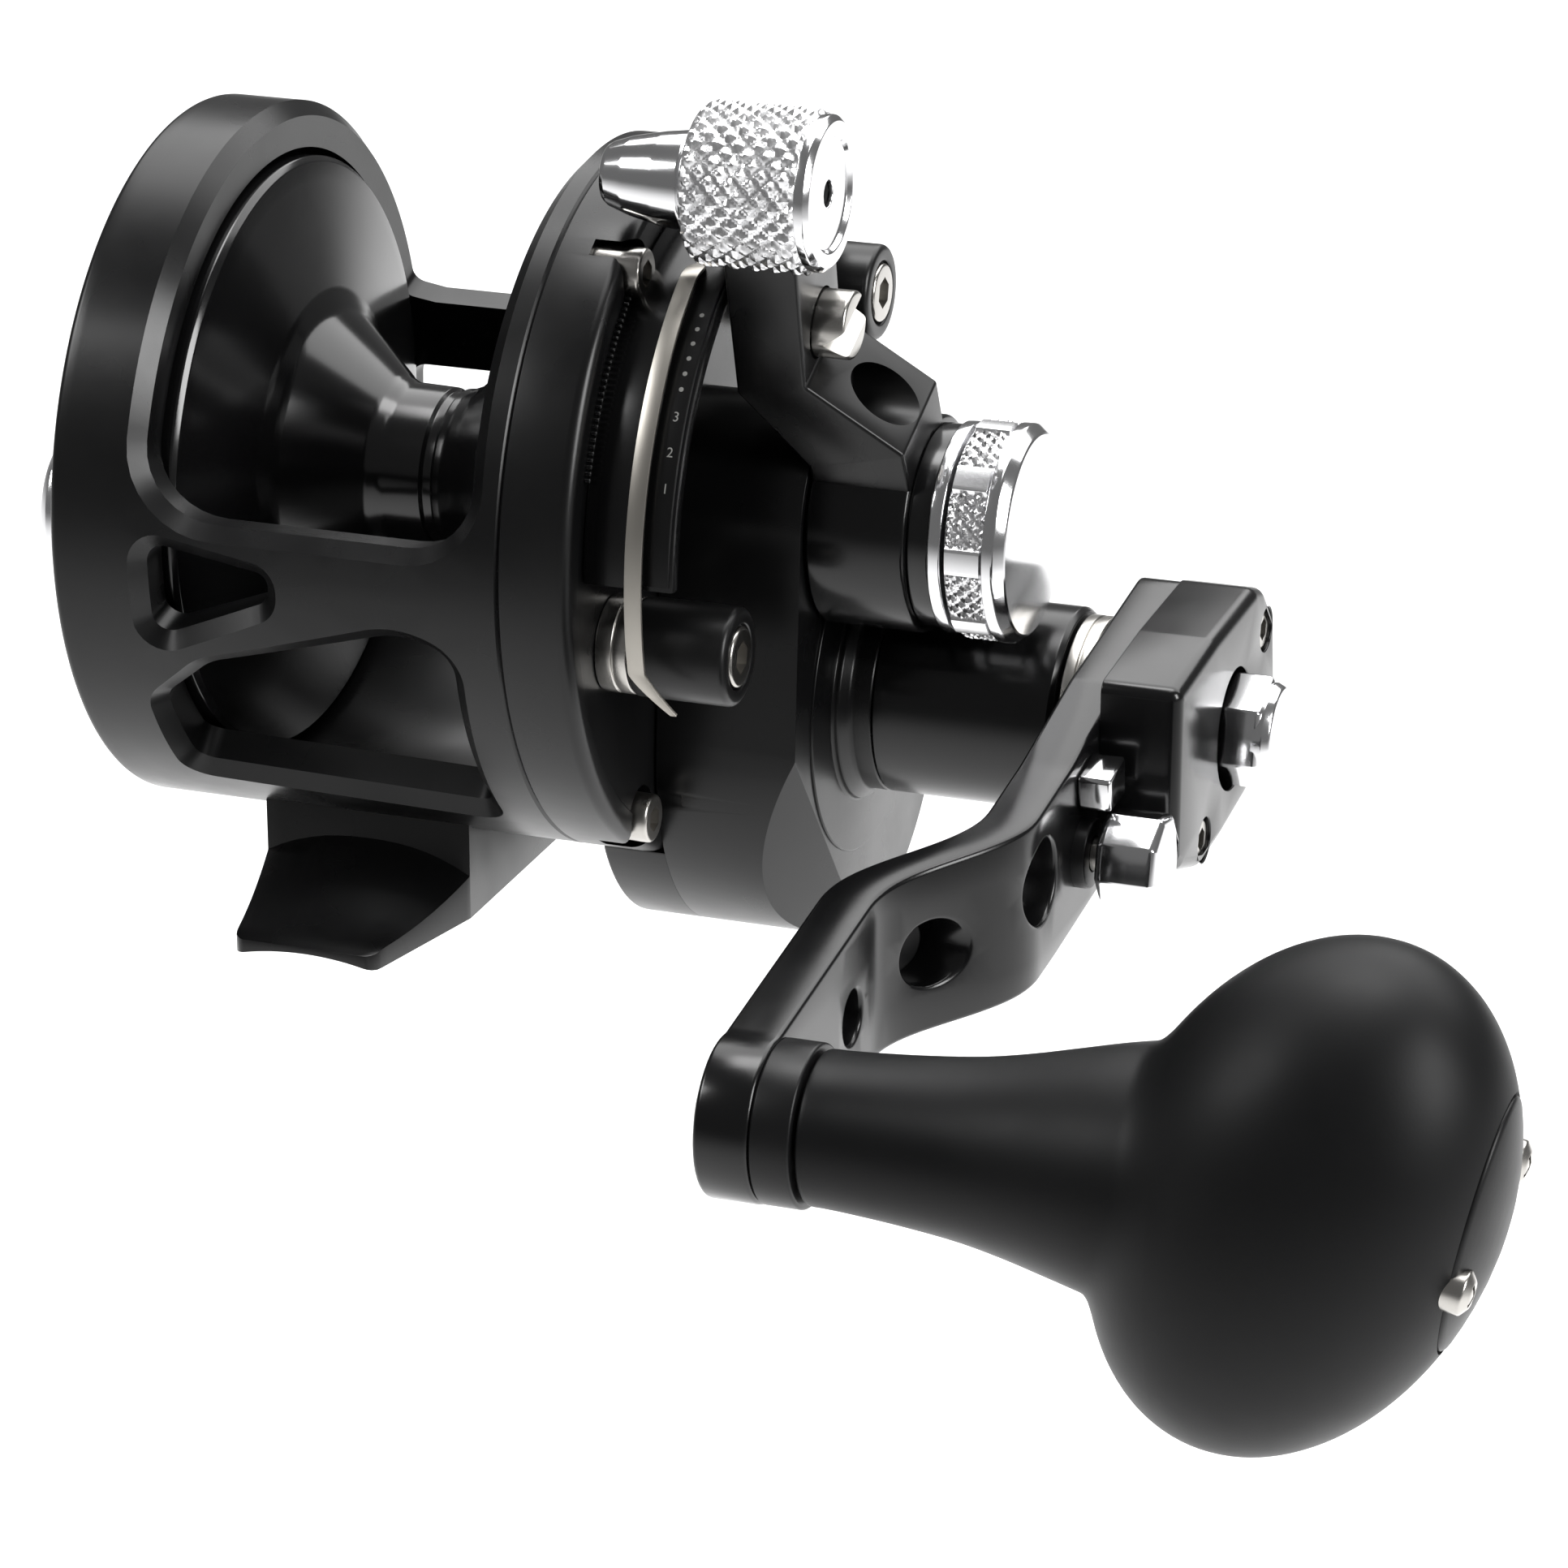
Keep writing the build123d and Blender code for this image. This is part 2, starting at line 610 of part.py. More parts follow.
# drag washer, bonded in the spool's right flange
with BuildPart() as drag_washer:
    with BuildSketch(face_at(DRAG_WASHER_X)):
        Circle(DRAG_WASHER_OUT)
        Circle(DRAG_WASHER_IN, mode=Mode.SUBTRACT)
    extrude(amount=DRAG_WASHER_T)
drag_washer.part.label = "drag_washer"
export_step(drag_washer.part, "parts/drag_washer.step")

# drag disc, keyed to the pinions
with BuildPart() as drag_disc:
    with BuildSketch(face_at(DRAG_DISC_X)):
        Circle(DRAG_DISC_R)
    extrude(amount=DRAG_DISC_END - DRAG_DISC_X)
    with BuildSketch(face_at(DRAG_DISC_X)):
        Circle(DRAG_HUB_R)
    extrude(amount=DRAG_HUB_END - DRAG_DISC_X)
    with BuildSketch(face_at(DRAG_DISC_X)):
        Circle(PINION_SLEEVE_R)
    extrude(amount=DRAG_HUB_END - DRAG_DISC_X, mode=Mode.SUBTRACT)
    with BuildSketch(face_at(DRAG_DISC_X)):
        with PolarLocations(GEAR_HOLE_RING, GEAR_HOLES):
            Circle(GEAR_HOLE_R)
    extrude(amount=DRAG_DISC_END - DRAG_DISC_X, mode=Mode.SUBTRACT)
drag_disc.part.label = "drag_disc"
export_step(drag_disc.part, "parts/drag_disc.step")

# disc springs between the spool bearing and the pinion
with BuildPart() as belleville_springs:
    wave = (BELLEVILLE_END - BELLEVILLE_X) / BELLEVILLE_WAVES
    for i in range(BELLEVILLE_WAVES):
        with BuildSketch(face_at(BELLEVILLE_X + i * wave)):
            Circle(BELLEVILLE_R - BELLEVILLE_STEP * (i % 2))
            Circle(SHAFT_R + BELLEVILLE_FIT, mode=Mode.SUBTRACT)
        extrude(amount=wave)
belleville_springs.part.label = "belleville_springs"
export_step(belleville_springs.part, "parts/belleville_springs.step")

# right side plate
with BuildPart() as side_plate:
    with BuildSketch(face_at(SIDE_X)):
        Circle(FRAME_R)
    extrude(amount=SIDE_END - SIDE_X)
    fillet(side_plate.edges().group_by(Axis.X)[-1], SIDE_EDGE_R)
    with BuildSketch(face_at(SIDE_X)):
        Circle(SIDE_POCKET_R)
    extrude(amount=SIDE_POCKET_END - SIDE_X, mode=Mode.SUBTRACT)
    with BuildSketch(face_at(SIDE_X)):
        Circle(PINION_SLEEVE_R + GAP)
    extrude(amount=SIDE_END - SIDE_X, mode=Mode.SUBTRACT)
    with BuildSketch(face_at(PINION_BEARING_X)):
        Circle(PINION_BEARING_R)
    extrude(amount=BEARING_T, mode=Mode.SUBTRACT)
    with BuildSketch(face_at(PINION_BEARING_X + BEARING_T)):
        Circle(PINION_BEARING_R - GAP)
    extrude(amount=SIDE_END - PINION_BEARING_X, mode=Mode.SUBTRACT)
    with BuildSketch(face_at(INNER_BEARING_X, HANDLE_Y, HANDLE_Z)):
        Circle(BEARING_R)
    extrude(amount=SIDE_END - INNER_BEARING_X, mode=Mode.SUBTRACT)
    with BuildSketch(face_at(SCREW_HEAD_X)):
        with Locations(*SIDE_SCREWS):
            Circle(SCREW_HEAD_R + FIT)
    extrude(amount=SIDE_END, mode=Mode.SUBTRACT)
    with BuildSketch(face_at(SIDE_X)):
        with Locations(*SIDE_SCREWS):
            Circle(SCREW_SHANK_R + FIT)
    extrude(amount=SIDE_END - SIDE_X, mode=Mode.SUBTRACT)
    with BuildSketch(face_at(POST_SHANK_X)):
        with Locations(*POSTS):
            Circle(POST_SHANK_R)
    extrude(amount=SIDE_END - POST_SHANK_X, mode=Mode.SUBTRACT)
    with BuildSketch(face_at(DOG_PIN_X, HANDLE_Y - DOG_PIN_RING, HANDLE_Z)):
        Circle(DOG_PIN_R)
    extrude(amount=SIDE_END - DOG_PIN_X, mode=Mode.SUBTRACT)
side_plate.part.label = "side_plate"
export_step(side_plate.part, "parts/side_plate.step")

# side plate screws
with BuildPart() as side_plate_screws:
    with BuildSketch(face_at(SCREW_HEAD_X)):
        with Locations(*SIDE_SCREWS):
            Circle(SCREW_HEAD_R)
    extrude(amount=SCREW_HEAD_END - SCREW_HEAD_X)
    with BuildSketch(face_at(SCREW_SHANK_X)):
        with Locations(*SIDE_SCREWS):
            Circle(SCREW_SHANK_R)
    extrude(amount=SCREW_HEAD_X - SCREW_SHANK_X)
    with BuildSketch(face_at(SCREW_HEAD_END)):
        with Locations(*SIDE_SCREWS):
            RegularPolygon(SOCKET_FLAT, HEX)
    extrude(amount=-SOCKET_DEPTH, mode=Mode.SUBTRACT)
side_plate_screws.part.label = "side_plate_screws"
export_step(side_plate_screws.part, "parts/side_plate_screws.step")

# pinion bearing in the side plate
with BuildPart() as pinion_bearing:
    with BuildSketch(face_at(PINION_BEARING_X)):
        Circle(PINION_BEARING_R)
        Circle(PINION_SLEEVE_R + FIT, mode=Mode.SUBTRACT)
    extrude(amount=BEARING_T)
pinion_bearing.part.label = "pinion_bearing"
export_step(pinion_bearing.part, "parts/pinion_bearing.step")

# low pinion: sleeve from the drag disc to the low gear
with BuildPart() as low_pinion:
    with BuildSketch(face_at(PINION_X)):
        Circle(PINION_SLEEVE_R)
    extrude(amount=LOW_X - PINION_X)
    with BuildSketch(face_at(LOW_X - GAP)):
        Polygon(*gear_points(LOW_PINION_TEETH, MESH_ANGLE + 180 / LOW_PINION_TEETH), align=None)
    extrude(amount=GEAR_T + 2 * GAP)
    with BuildSketch(face_at(PINION_X)):
        Circle(SHAFT_THIN_R + FIT)
    extrude(amount=PINION_END - PINION_X, mode=Mode.SUBTRACT)
low_pinion.part.label = "low_pinion"
export_step(low_pinion.part, "parts/low_pinion.step")

# high pinion, on the end of the same sleeve
with BuildPart() as high_pinion:
    with BuildSketch(face_at(LOW_X + GEAR_T + GAP)):
        Circle(PINION_NECK_R)
    extrude(amount=HIGH_X - LOW_X - GEAR_T - GAP)
    with BuildSketch(face_at(HIGH_X - GAP)):
        Polygon(*gear_points(HIGH_PINION_TEETH, MESH_ANGLE + 180 / HIGH_PINION_TEETH), align=None)
    extrude(amount=PINION_END - HIGH_X + GAP)
    with BuildSketch(face_at(LOW_X)):
        Circle(SHAFT_THIN_R + FIT)
    extrude(amount=PINION_END - LOW_X, mode=Mode.SUBTRACT)
high_pinion.part.label = "high_pinion"
export_step(high_pinion.part, "parts/high_pinion.step")

# high-speed main gear, fixed to the handle shaft
with BuildPart() as high_main_gear:
    with BuildSketch(face_at(HIGH_X, HANDLE_Y, HANDLE_Z)):
        Polygon(*gear_points(HIGH_MAIN_TEETH, MESH_ANGLE + 180), align=None)
        with PolarLocations(GEAR_HOLE_RING, GEAR_HOLES):
            Circle(GEAR_HOLE_R, mode=Mode.SUBTRACT)
        Circle(SHAFT2_R, mode=Mode.SUBTRACT)
    extrude(amount=GEAR_T)
high_main_gear.part.label = "high_main_gear"
export_step(high_main_gear.part, "parts/high_main_gear.step")

# low-speed main gear, free on the handle shaft
with BuildPart() as low_main_gear:
    with BuildSketch(face_at(LOW_X, HANDLE_Y, HANDLE_Z)):
        Polygon(*gear_points(LOW_MAIN_TEETH, MESH_ANGLE + 180), align=None)
        with PolarLocations(GEAR_HOLE_RING, GEAR_HOLES):
            Circle(GEAR_HOLE_R, mode=Mode.SUBTRACT)
    extrude(amount=GEAR_T)
    with BuildSketch(face_at(LOW_X, HANDLE_Y, HANDLE_Z)):
        Circle(GEAR_HUB_R)
    extrude(amount=HIGH_X - LOW_X - GAP)
    with BuildSketch(face_at(LOW_X, HANDLE_Y, HANDLE_Z)):
        Circle(SHAFT2_R + FIT)
    extrude(amount=HIGH_X - LOW_X, mode=Mode.SUBTRACT)
low_main_gear.part.label = "low_main_gear"
export_step(low_main_gear.part, "parts/low_main_gear.step")

# gear housing: boss and lobe with the gear chamber inside
CHAMFER_DIR_Y = CHAMFER_FACE[1][0] - CHAMFER_FACE[0][0]
CHAMFER_DIR_Z = CHAMFER_FACE[1][1] - CHAMFER_FACE[0][1]
CHAMFER_LEN = math.hypot(CHAMFER_DIR_Y, CHAMFER_DIR_Z)
CHAMFER_PLANE = Plane(
    origin=(LEFT_X, CHAMFER_FACE[0][0], AXIS_Z + CHAMFER_FACE[0][1]),
    x_dir=(1, 0, 0),
    z_dir=(0, -CHAMFER_DIR_Y / CHAMFER_LEN, -CHAMFER_DIR_Z / CHAMFER_LEN),
)
with BuildPart() as gear_housing:
    with BuildSketch(face_at(HOUSING_X)):
        Circle(BOSS_R)
        with Locations((LOBE_Y, LOBE_Z)):
            Circle(LOBE_R)
        make_hull()
    extrude(amount=HOUSING_END - HOUSING_X)
    with BuildSketch(face_at(HOUSING_WRAP_X)):
        with Locations((LOBE_Y, LOBE_Z)):
            Circle(LOBE_R)
        Circle(FRAME_R + FIT, mode=Mode.SUBTRACT)
    extrude(amount=HOUSING_X - HOUSING_WRAP_X)
    with BuildSketch(CHAMFER_PLANE):
        with BuildLine():
            Polyline(
                (HOUSING_END - 2 * CHAMFER_DROP, -2 * CHAMFER_RUN),
                (HOUSING_END + CHAMFER_DROP, CHAMFER_RUN),
                (HOUSING_END + CHAMFER_DROP, -2 * CHAMFER_RUN),
                close=True,
            )
        make_face()
    extrude(amount=2 * CHAMFER_LEN, both=True, mode=Mode.SUBTRACT)
    with BuildSketch(face_at(HOUSING_END, HANDLE_Y, HANDLE_Z)):
        Circle(HOUSING_FLANGE_R)
    extrude(amount=HOUSING_FLANGE_T)
    with BuildSketch(face_at(HOUSING_END, HANDLE_Y, HANDLE_Z)):
        Circle(HOUSING_NECK_R)
    extrude(amount=SEAM_X - HOUSING_END)
    with BuildSketch(face_at(HOUSING_X)):
        with Locations((HANDLE_Y, HANDLE_Z)):
            Circle(CAVITY_R)
        Circle(CAVITY_PINION_R)
    extrude(amount=CAVITY_END - HOUSING_X, mode=Mode.SUBTRACT)
    with BuildSketch(face_at(CAVITY_END)):
        Circle(CAM_SLEEVE_R)
    extrude(amount=HOUSING_END - CAVITY_END, mode=Mode.SUBTRACT)
    with BuildSketch(face_at(CAVITY_END, HANDLE_Y, HANDLE_Z)):
        Circle(COVER_BORE_R)
    extrude(amount=SEAM_X - CAVITY_END, mode=Mode.SUBTRACT)
    with BuildSketch(face_at(COVER_SPIGOT_X, HANDLE_Y, HANDLE_Z)):
        Circle(COVER_SPIGOT_R)
    extrude(amount=SEAM_X - COVER_SPIGOT_X, mode=Mode.SUBTRACT)
    with BuildSketch(face_at(HOUSING_WRAP_X)):
        with Locations(SIDE_SCREWS[1]):
            Circle(SCREW_NOTCH_R)
    extrude(amount=HOUSING_END, mode=Mode.SUBTRACT)
gear_housing.part.label = "gear_housing"
export_step(gear_housing.part, "parts/gear_housing.step")

# housing cover: the long cylinder that carries the outer shaft bearing
with BuildPart() as housing_cover:
    with BuildSketch(face_at(SEAM_X, HANDLE_Y, HANDLE_Z)):
        Circle(HOUSING_NECK_R)
    extrude(amount=COVER_END - SEAM_X)
    with BuildSketch(face_at(COVER_SPIGOT_X, HANDLE_Y, HANDLE_Z)):
        Circle(COVER_SPIGOT_R)
    extrude(amount=SEAM_X - COVER_SPIGOT_X)
    with BuildSketch(face_at(COVER_SPIGOT_X, HANDLE_Y, HANDLE_Z)):
        Circle(COVER_BORE_R)
    extrude(amount=COVER_END - COVER_SPIGOT_X, mode=Mode.SUBTRACT)
    with BuildSketch(face_at(OUTER_BEARING_X, HANDLE_Y, HANDLE_Z)):
        Circle(BEARING_R)
    extrude(amount=COVER_END - OUTER_BEARING_X, mode=Mode.SUBTRACT)
housing_cover.part.label = "housing_cover"
export_step(housing_cover.part, "parts/housing_cover.step")

# handle shaft bearings
with BuildPart() as inner_shaft_bearing:
    with BuildSketch(face_at(INNER_BEARING_X, HANDLE_Y, HANDLE_Z)):
        Circle(BEARING_R)
        Circle(SHAFT2_R + FIT, mode=Mode.SUBTRACT)
    extrude(amount=BEARING_T)
inner_shaft_bearing.part.label = "inner_shaft_bearing"
export_step(inner_shaft_bearing.part, "parts/inner_shaft_bearing.step")

with BuildPart() as outer_shaft_bearing:
    with BuildSketch(face_at(OUTER_BEARING_X, HANDLE_Y, HANDLE_Z)):
        Circle(BEARING_R)
        Circle(SHAFT2_R + FIT, mode=Mode.SUBTRACT)
    extrude(amount=SHAFT2_COLLAR_X - FIT - OUTER_BEARING_X)
outer_shaft_bearing.part.label = "outer_shaft_bearing"
export_step(outer_shaft_bearing.part, "parts/outer_shaft_bearing.step")

# handle shaft, bored for the shift rod
with BuildPart() as handle_shaft:
    with BuildSketch(face_at(SHAFT2_X, HANDLE_Y, HANDLE_Z)):
        Circle(SHAFT2_R)
    extrude(amount=SHAFT2_END - SHAFT2_X)
    with BuildSketch(face_at(SHAFT2_COLLAR_X, HANDLE_Y, HANDLE_Z)):
        Circle(SHAFT2_COLLAR_R)
    extrude(amount=SPACER_X - SHAFT2_COLLAR_X)
    with BuildSketch(face_at(SHAFT2_BORE_X, HANDLE_Y, HANDLE_Z)):
        Circle(SHAFT2_BORE)
    extrude(amount=SHAFT2_END - SHAFT2_BORE_X, mode=Mode.SUBTRACT)
handle_shaft.part.label = "handle_shaft"
export_step(handle_shaft.part, "parts/handle_shaft.step")

# anti-reverse ratchet, its dog and the dog's pin
with BuildPart() as ratchet_wheel:
    with BuildSketch(face_at(RATCHET_X, HANDLE_Y, HANDLE_Z)):
        Polygon(*saw_points(RATCHET_TEETH, RATCHET_R, RATCHET_ROOT), align=None)
        Circle(SHAFT2_R, mode=Mode.SUBTRACT)
    extrude(amount=RATCHET_T)
ratchet_wheel.part.label = "ratchet_wheel"
export_step(ratchet_wheel.part, "parts/ratchet_wheel.step")

DOG_NOSE_Y = DOG_NOSE_RING * math.cos(math.radians(DOG_NOSE_ANGLE))
DOG_NOSE_Z = DOG_NOSE_RING * math.sin(math.radians(DOG_NOSE_ANGLE))
with BuildPart() as ratchet_dog:
    with BuildSketch(face_at(RATCHET_X, HANDLE_Y, HANDLE_Z)):
        with Locations((-DOG_PIN_RING, 0)):
            Circle(DOG_EYE_R)
        with Locations((DOG_NOSE_Y, DOG_NOSE_Z)):
            Circle(DOG_NOSE_R)
        make_hull()
        with Locations((-DOG_PIN_RING, 0)):
            Circle(DOG_PIN_R + FIT, mode=Mode.SUBTRACT)
    extrude(amount=RATCHET_T)
ratchet_dog.part.label = "ratchet_dog"
export_step(ratchet_dog.part, "parts/ratchet_dog.step")

with BuildPart() as dog_pin:
    with BuildSketch(face_at(DOG_PIN_X, HANDLE_Y - DOG_PIN_RING, HANDLE_Z)):
        Circle(DOG_PIN_R)
    extrude(amount=RATCHET_X + RATCHET_T - DOG_PIN_X)
dog_pin.part.label = "dog_pin"
export_step(dog_pin.part, "parts/dog_pin.step")

# quadrant plate: the curved scale wall beside the lever
with BuildPart() as quadrant_plate:
    with BuildSketch(face_at(SIDE_END)):
        Polygon(*arc_band(PLATE_R, PLATE_R - PLATE_WALL, PLATE_FROM, PLATE_TO), align=None)
    extrude(amount=PLATE_END - SIDE_END)
    with BuildSketch(face_at(SIDE_END)):
        with Locations(*SIDE_SCREWS):
            Circle(SCREW_HEAD_R + GAP)
    extrude(amount=SCREW_HEAD_END + GAP - SIDE_END, mode=Mode.SUBTRACT)
quadrant_plate.part.label = "quadrant_plate"
export_step(quadrant_plate.part, "parts/quadrant_plate.step")

# quadrant strip: spring steel band over the plate, held by its turned-in end
with BuildPart() as quadrant_strip:
    with BuildSketch(face_at(STRIP_X)):
        Polygon(*arc_band(STRIP_R, STRIP_R - STRIP_T, STRIP_FROM, STRIP_TO), align=None)
        Polygon(*arc_band(STRIP_R, PLATE_R, STRIP_TO - STRIP_TAB, STRIP_TO), align=None)
    extrude(amount=STRIP_END - STRIP_X)
quadrant_strip.part.label = "quadrant_strip"
export_step(quadrant_strip.part, "parts/quadrant_strip.step")

# stop posts: steel collar, rubber sleeve, socket screw
with BuildPart() as post_collars:
    with BuildSketch(face_at(SIDE_END)):
        with Locations(*POSTS):
            Circle(POST_COLLAR_R)
            Circle(POST_SHANK_R, mode=Mode.SUBTRACT)
    extrude(amount=POST_COLLAR_END - SIDE_END)
post_collars.part.label = "post_collars"
export_step(post_collars.part, "parts/post_collars.step")

with BuildPart() as post_sleeves:
    with BuildSketch(face_at(POST_COLLAR_END)):
        with Locations(*POSTS):
            Circle(POST_SLEEVE_R)
            Circle(POST_SHANK_R, mode=Mode.SUBTRACT)
    extrude(amount=POST_SLEEVE_END - POST_COLLAR_END)
post_sleeves.part.label = "post_sleeves"
export_step(post_sleeves.part, "parts/post_sleeves.step")

with BuildPart() as post_screws:
    with BuildSketch(face_at(POST_SHANK_X)):
        with Locations(*POSTS):
            Circle(POST_SHANK_R)
    extrude(amount=POST_SLEEVE_END - POST_SHANK_X)
    with BuildSketch(face_at(POST_SLEEVE_END)):
        with Locations(*POSTS):
            Circle(POST_HEAD_R)
            RegularPolygon(SOCKET_FLAT, HEX, mode=Mode.SUBTRACT)
    extrude(amount=POST_END - POST_SLEEVE_END)
post_screws.part.label = "post_screws"
export_step(post_screws.part, "parts/post_screws.step")

# fixed cam sleeve that the lever turns on
with BuildPart() as drag_cam:
    with BuildSketch(face_at(CAM_SLEEVE_X)):
        Circle(CAM_SLEEVE_R)
        Circle(SHAFT_THIN_R, mode=Mode.SUBTRACT)
    extrude(amount=CAM_SLEEVE_END - CAM_SLEEVE_X)
drag_cam.part.label = "drag_cam"
export_step(drag_cam.part, "parts/drag_cam.step")

# drag lever: hub, slanted neck and straight blade
with BuildPart() as drag_lever:
    with BuildSketch(LEVER_PLANE):
        Polygon(*LEVER_ARM, align=None)
    extrude(amount=LEVER_HALF_W, both=True)
    with BuildSketch(face_at(LEVER_ARM[0][0], KNOB_Y, KNOB_Z)):
        Circle(LEVER_HALF_W)
    extrude(amount=LEVER_ARM[-1][0] - LEVER_ARM[0][0])
    with BuildSketch(face_at(LEVER_HUB_X)):
        Circle(LEVER_HUB_R)
    extrude(amount=LEVER_HUB_END - LEVER_HUB_X)
    with BuildSketch(face_at(LEVER_HUB_X)):
        Circle(LEVER_HUB_BORE)
    extrude(amount=LEVER_HUB_END - LEVER_HUB_X, mode=Mode.SUBTRACT)
    with BuildSketch(face_at(LEVER_ARM[0][0], STRIKE_Y, STRIKE_Z)):
        Circle(STRIKE_STEM_R + 2 * FIT)
    extrude(amount=STRIKE_POCKET_X - LEVER_ARM[0][0], mode=Mode.SUBTRACT)
    with BuildSketch(face_at(STRIKE_POCKET_X, STRIKE_Y, STRIKE_Z)):
        Circle(STRIKE_R + 2 * FIT)
    extrude(amount=STRIKE_END - STRIKE_POCKET_X, mode=Mode.SUBTRACT)
    with BuildSketch(face_at(LEVER_ARM[0][0], KNOB_Y, KNOB_Z)):
        Circle(POST_SHANK_R)
    extrude(amount=KNOB_END - LEVER_ARM[0][0], mode=Mode.SUBTRACT)
drag_lever.part.label = "drag_lever"
export_step(drag_lever.part, "parts/drag_lever.step")

# lever knob, slotted over the end of the blade
with BuildPart() as lever_knob:
    with BuildSketch(face_at(KNOB_X, KNOB_Y, KNOB_Z)):
        Circle(KNOB_R - KNURL_DEPTH)
        with PolarLocations(KNOB_R - KNURL_DEPTH, KNURL_N):
            Rectangle(2 * KNURL_DEPTH, 2 * KNURL_DEPTH, rotation=KNURL_ANGLE)
    extrude(amount=KNOB_END - KNOB_X)
    with BuildSketch(face_at(KNOB_END, KNOB_Y, KNOB_Z)):
        Circle(KNOB_CAP_R)
    extrude(amount=KNOB_CAP_END - KNOB_END)
    with BuildSketch(LEVER_PLANE):
        with BuildLine():
            Polyline(
                (LEVER_ARM[0][0], KNOB_RING - 2 * KNOB_R),
                (LEVER_ARM[0][0], KNOB_RING),
                (LEVER_ARM[-1][0], KNOB_RING),
                (LEVER_ARM[-1][0], KNOB_RING - 2 * KNOB_R),
                close=True,
            )
        make_face()
    extrude(amount=LEVER_HALF_W, both=True, mode=Mode.SUBTRACT)
    with BuildSketch(face_at(LEVER_ARM[0][0], KNOB_Y, KNOB_Z)):
        Circle(LEVER_HALF_W)
    extrude(amount=LEVER_ARM[-1][0] - LEVER_ARM[0][0], mode=Mode.SUBTRACT)
    with BuildSketch(face_at(KNOB_X, KNOB_Y, KNOB_Z)):
        Circle(POST_SHANK_R)
    extrude(amount=KNOB_CAP_END - KNOB_X, mode=Mode.SUBTRACT)
lever_knob.part.label = "lever_knob"
export_step(lever_knob.part, "parts/lever_knob.step")

# bullet nose on the inner end of the lever knob
with BuildPart() as lever_knob_nose:
    with BuildSketch(section(KNOB_Y, KNOB_Z)):
        Polygon(*NOSE_PROFILE, align=None)
    revolve(axis=spin_axis(KNOB_Y, KNOB_Z))
lever_knob_nose.part.label = "lever_knob_nose"
export_step(lever_knob_nose.part, "parts/lever_knob_nose.step")

# screw through knob and blade
with BuildPart() as lever_knob_screw:
    with BuildSketch(face_at(KNOB_X, KNOB_Y, KNOB_Z)):
        Circle(POST_SHANK_R)
    extrude(amount=KNOB_CAP_END - KNOB_X)
    with BuildSketch(face_at(KNOB_CAP_END, KNOB_Y, KNOB_Z)):
        RegularPolygon(SOCKET_FLAT, HEX)
    extrude(amount=-SOCKET_DEPTH, mode=Mode.SUBTRACT)
lever_knob_screw.part.label = "lever_knob_screw"
export_step(lever_knob_screw.part, "parts/lever_knob_screw.step")

# strike stop button
with BuildPart() as strike_button:
    with BuildSketch(face_at(STRIKE_X, STRIKE_Y, STRIKE_Z)):
        Circle(STRIKE_R)
    extrude(amount=STRIKE_END - STRIKE_X)
    chamfer(strike_button.edges().group_by(Axis.X)[-1], GAP)
    with BuildSketch(face_at(STRIKE_STEM_X, STRIKE_Y, STRIKE_Z)):
        Circle(STRIKE_STEM_R)
    extrude(amount=STRIKE_X - STRIKE_STEM_X)
strike_button.part.label = "strike_button"
export_step(strike_button.part, "parts/strike_button.step")

# rings closing the lever hub
with BuildPart() as hub_ring:
    with BuildSketch(face_at(LEVER_HUB_END)):
        Circle(HUB_RING_R)
        Circle(SHAFT_THIN_R + GAP, mode=Mode.SUBTRACT)
    extrude(amount=HUB_RING_END - LEVER_HUB_END)
hub_ring.part.label = "hub_ring"
export_step(hub_ring.part, "parts/hub_ring.step")

with BuildPart() as preset_ring:
    with BuildSketch(face_at(HUB_RING_END)):
        Circle(PRESET_RING_R)
        Circle(SHAFT_THIN_R + GAP, mode=Mode.SUBTRACT)
    extrude(amount=PRESET_RING_END - HUB_RING_END)
preset_ring.part.label = "preset_ring"
export_step(preset_ring.part, "parts/preset_ring.step")

# drag preset knob: ribbed band with four smooth pads
with BuildPart() as preset_knob:
    with BuildSketch(face_at(PRESET_X)):
        Circle(PRESET_R - GAP)
        with PolarLocations(PRESET_R - GAP, PRESET_RIBS):
            Rectangle(2 * GAP, 2 * GAP)
    extrude(amount=PRESET_BAND_END - PRESET_X)
    with BuildSketch(face_at(PRESET_BAND_END)):
        Circle(PRESET_R)
    extrude(amount=PRESET_END - PRESET_BAND_END)
    chamfer(preset_knob.edges().group_by(Axis.X)[-1], GAP)
    with BuildSketch(face_at(PRESET_X)):
        Circle(SHAFT_THIN_R + FIT)
    extrude(amount=SHAFT_END_X + GAP - PRESET_X, mode=Mode.SUBTRACT)
preset_knob.part.label = "preset_knob"
export_step(preset_knob.part, "parts/preset_knob.step")

# polished cap on the preset knob
with BuildPart() as preset_cap:
    with BuildSketch(face_at(PRESET_END)):
        Circle(PRESET_CAP_R)
    extrude(amount=PRESET_FACE_END - PRESET_END)
preset_cap.part.label = "preset_cap"
export_step(preset_cap.part, "parts/preset_cap.step")

# steel spacer between housing and handle arm
with BuildPart() as handle_spacer:
    with BuildSketch(face_at(SPACER_X, HANDLE_Y, HANDLE_Z)):
        Circle(SPACER_R)
        Circle(SHAFT2_R, mode=Mode.SUBTRACT)
    extrude(amount=ARM_X - SPACER_X)
handle_spacer.part.label = "handle_spacer"
export_step(handle_spacer.part, "parts/handle_spacer.step")

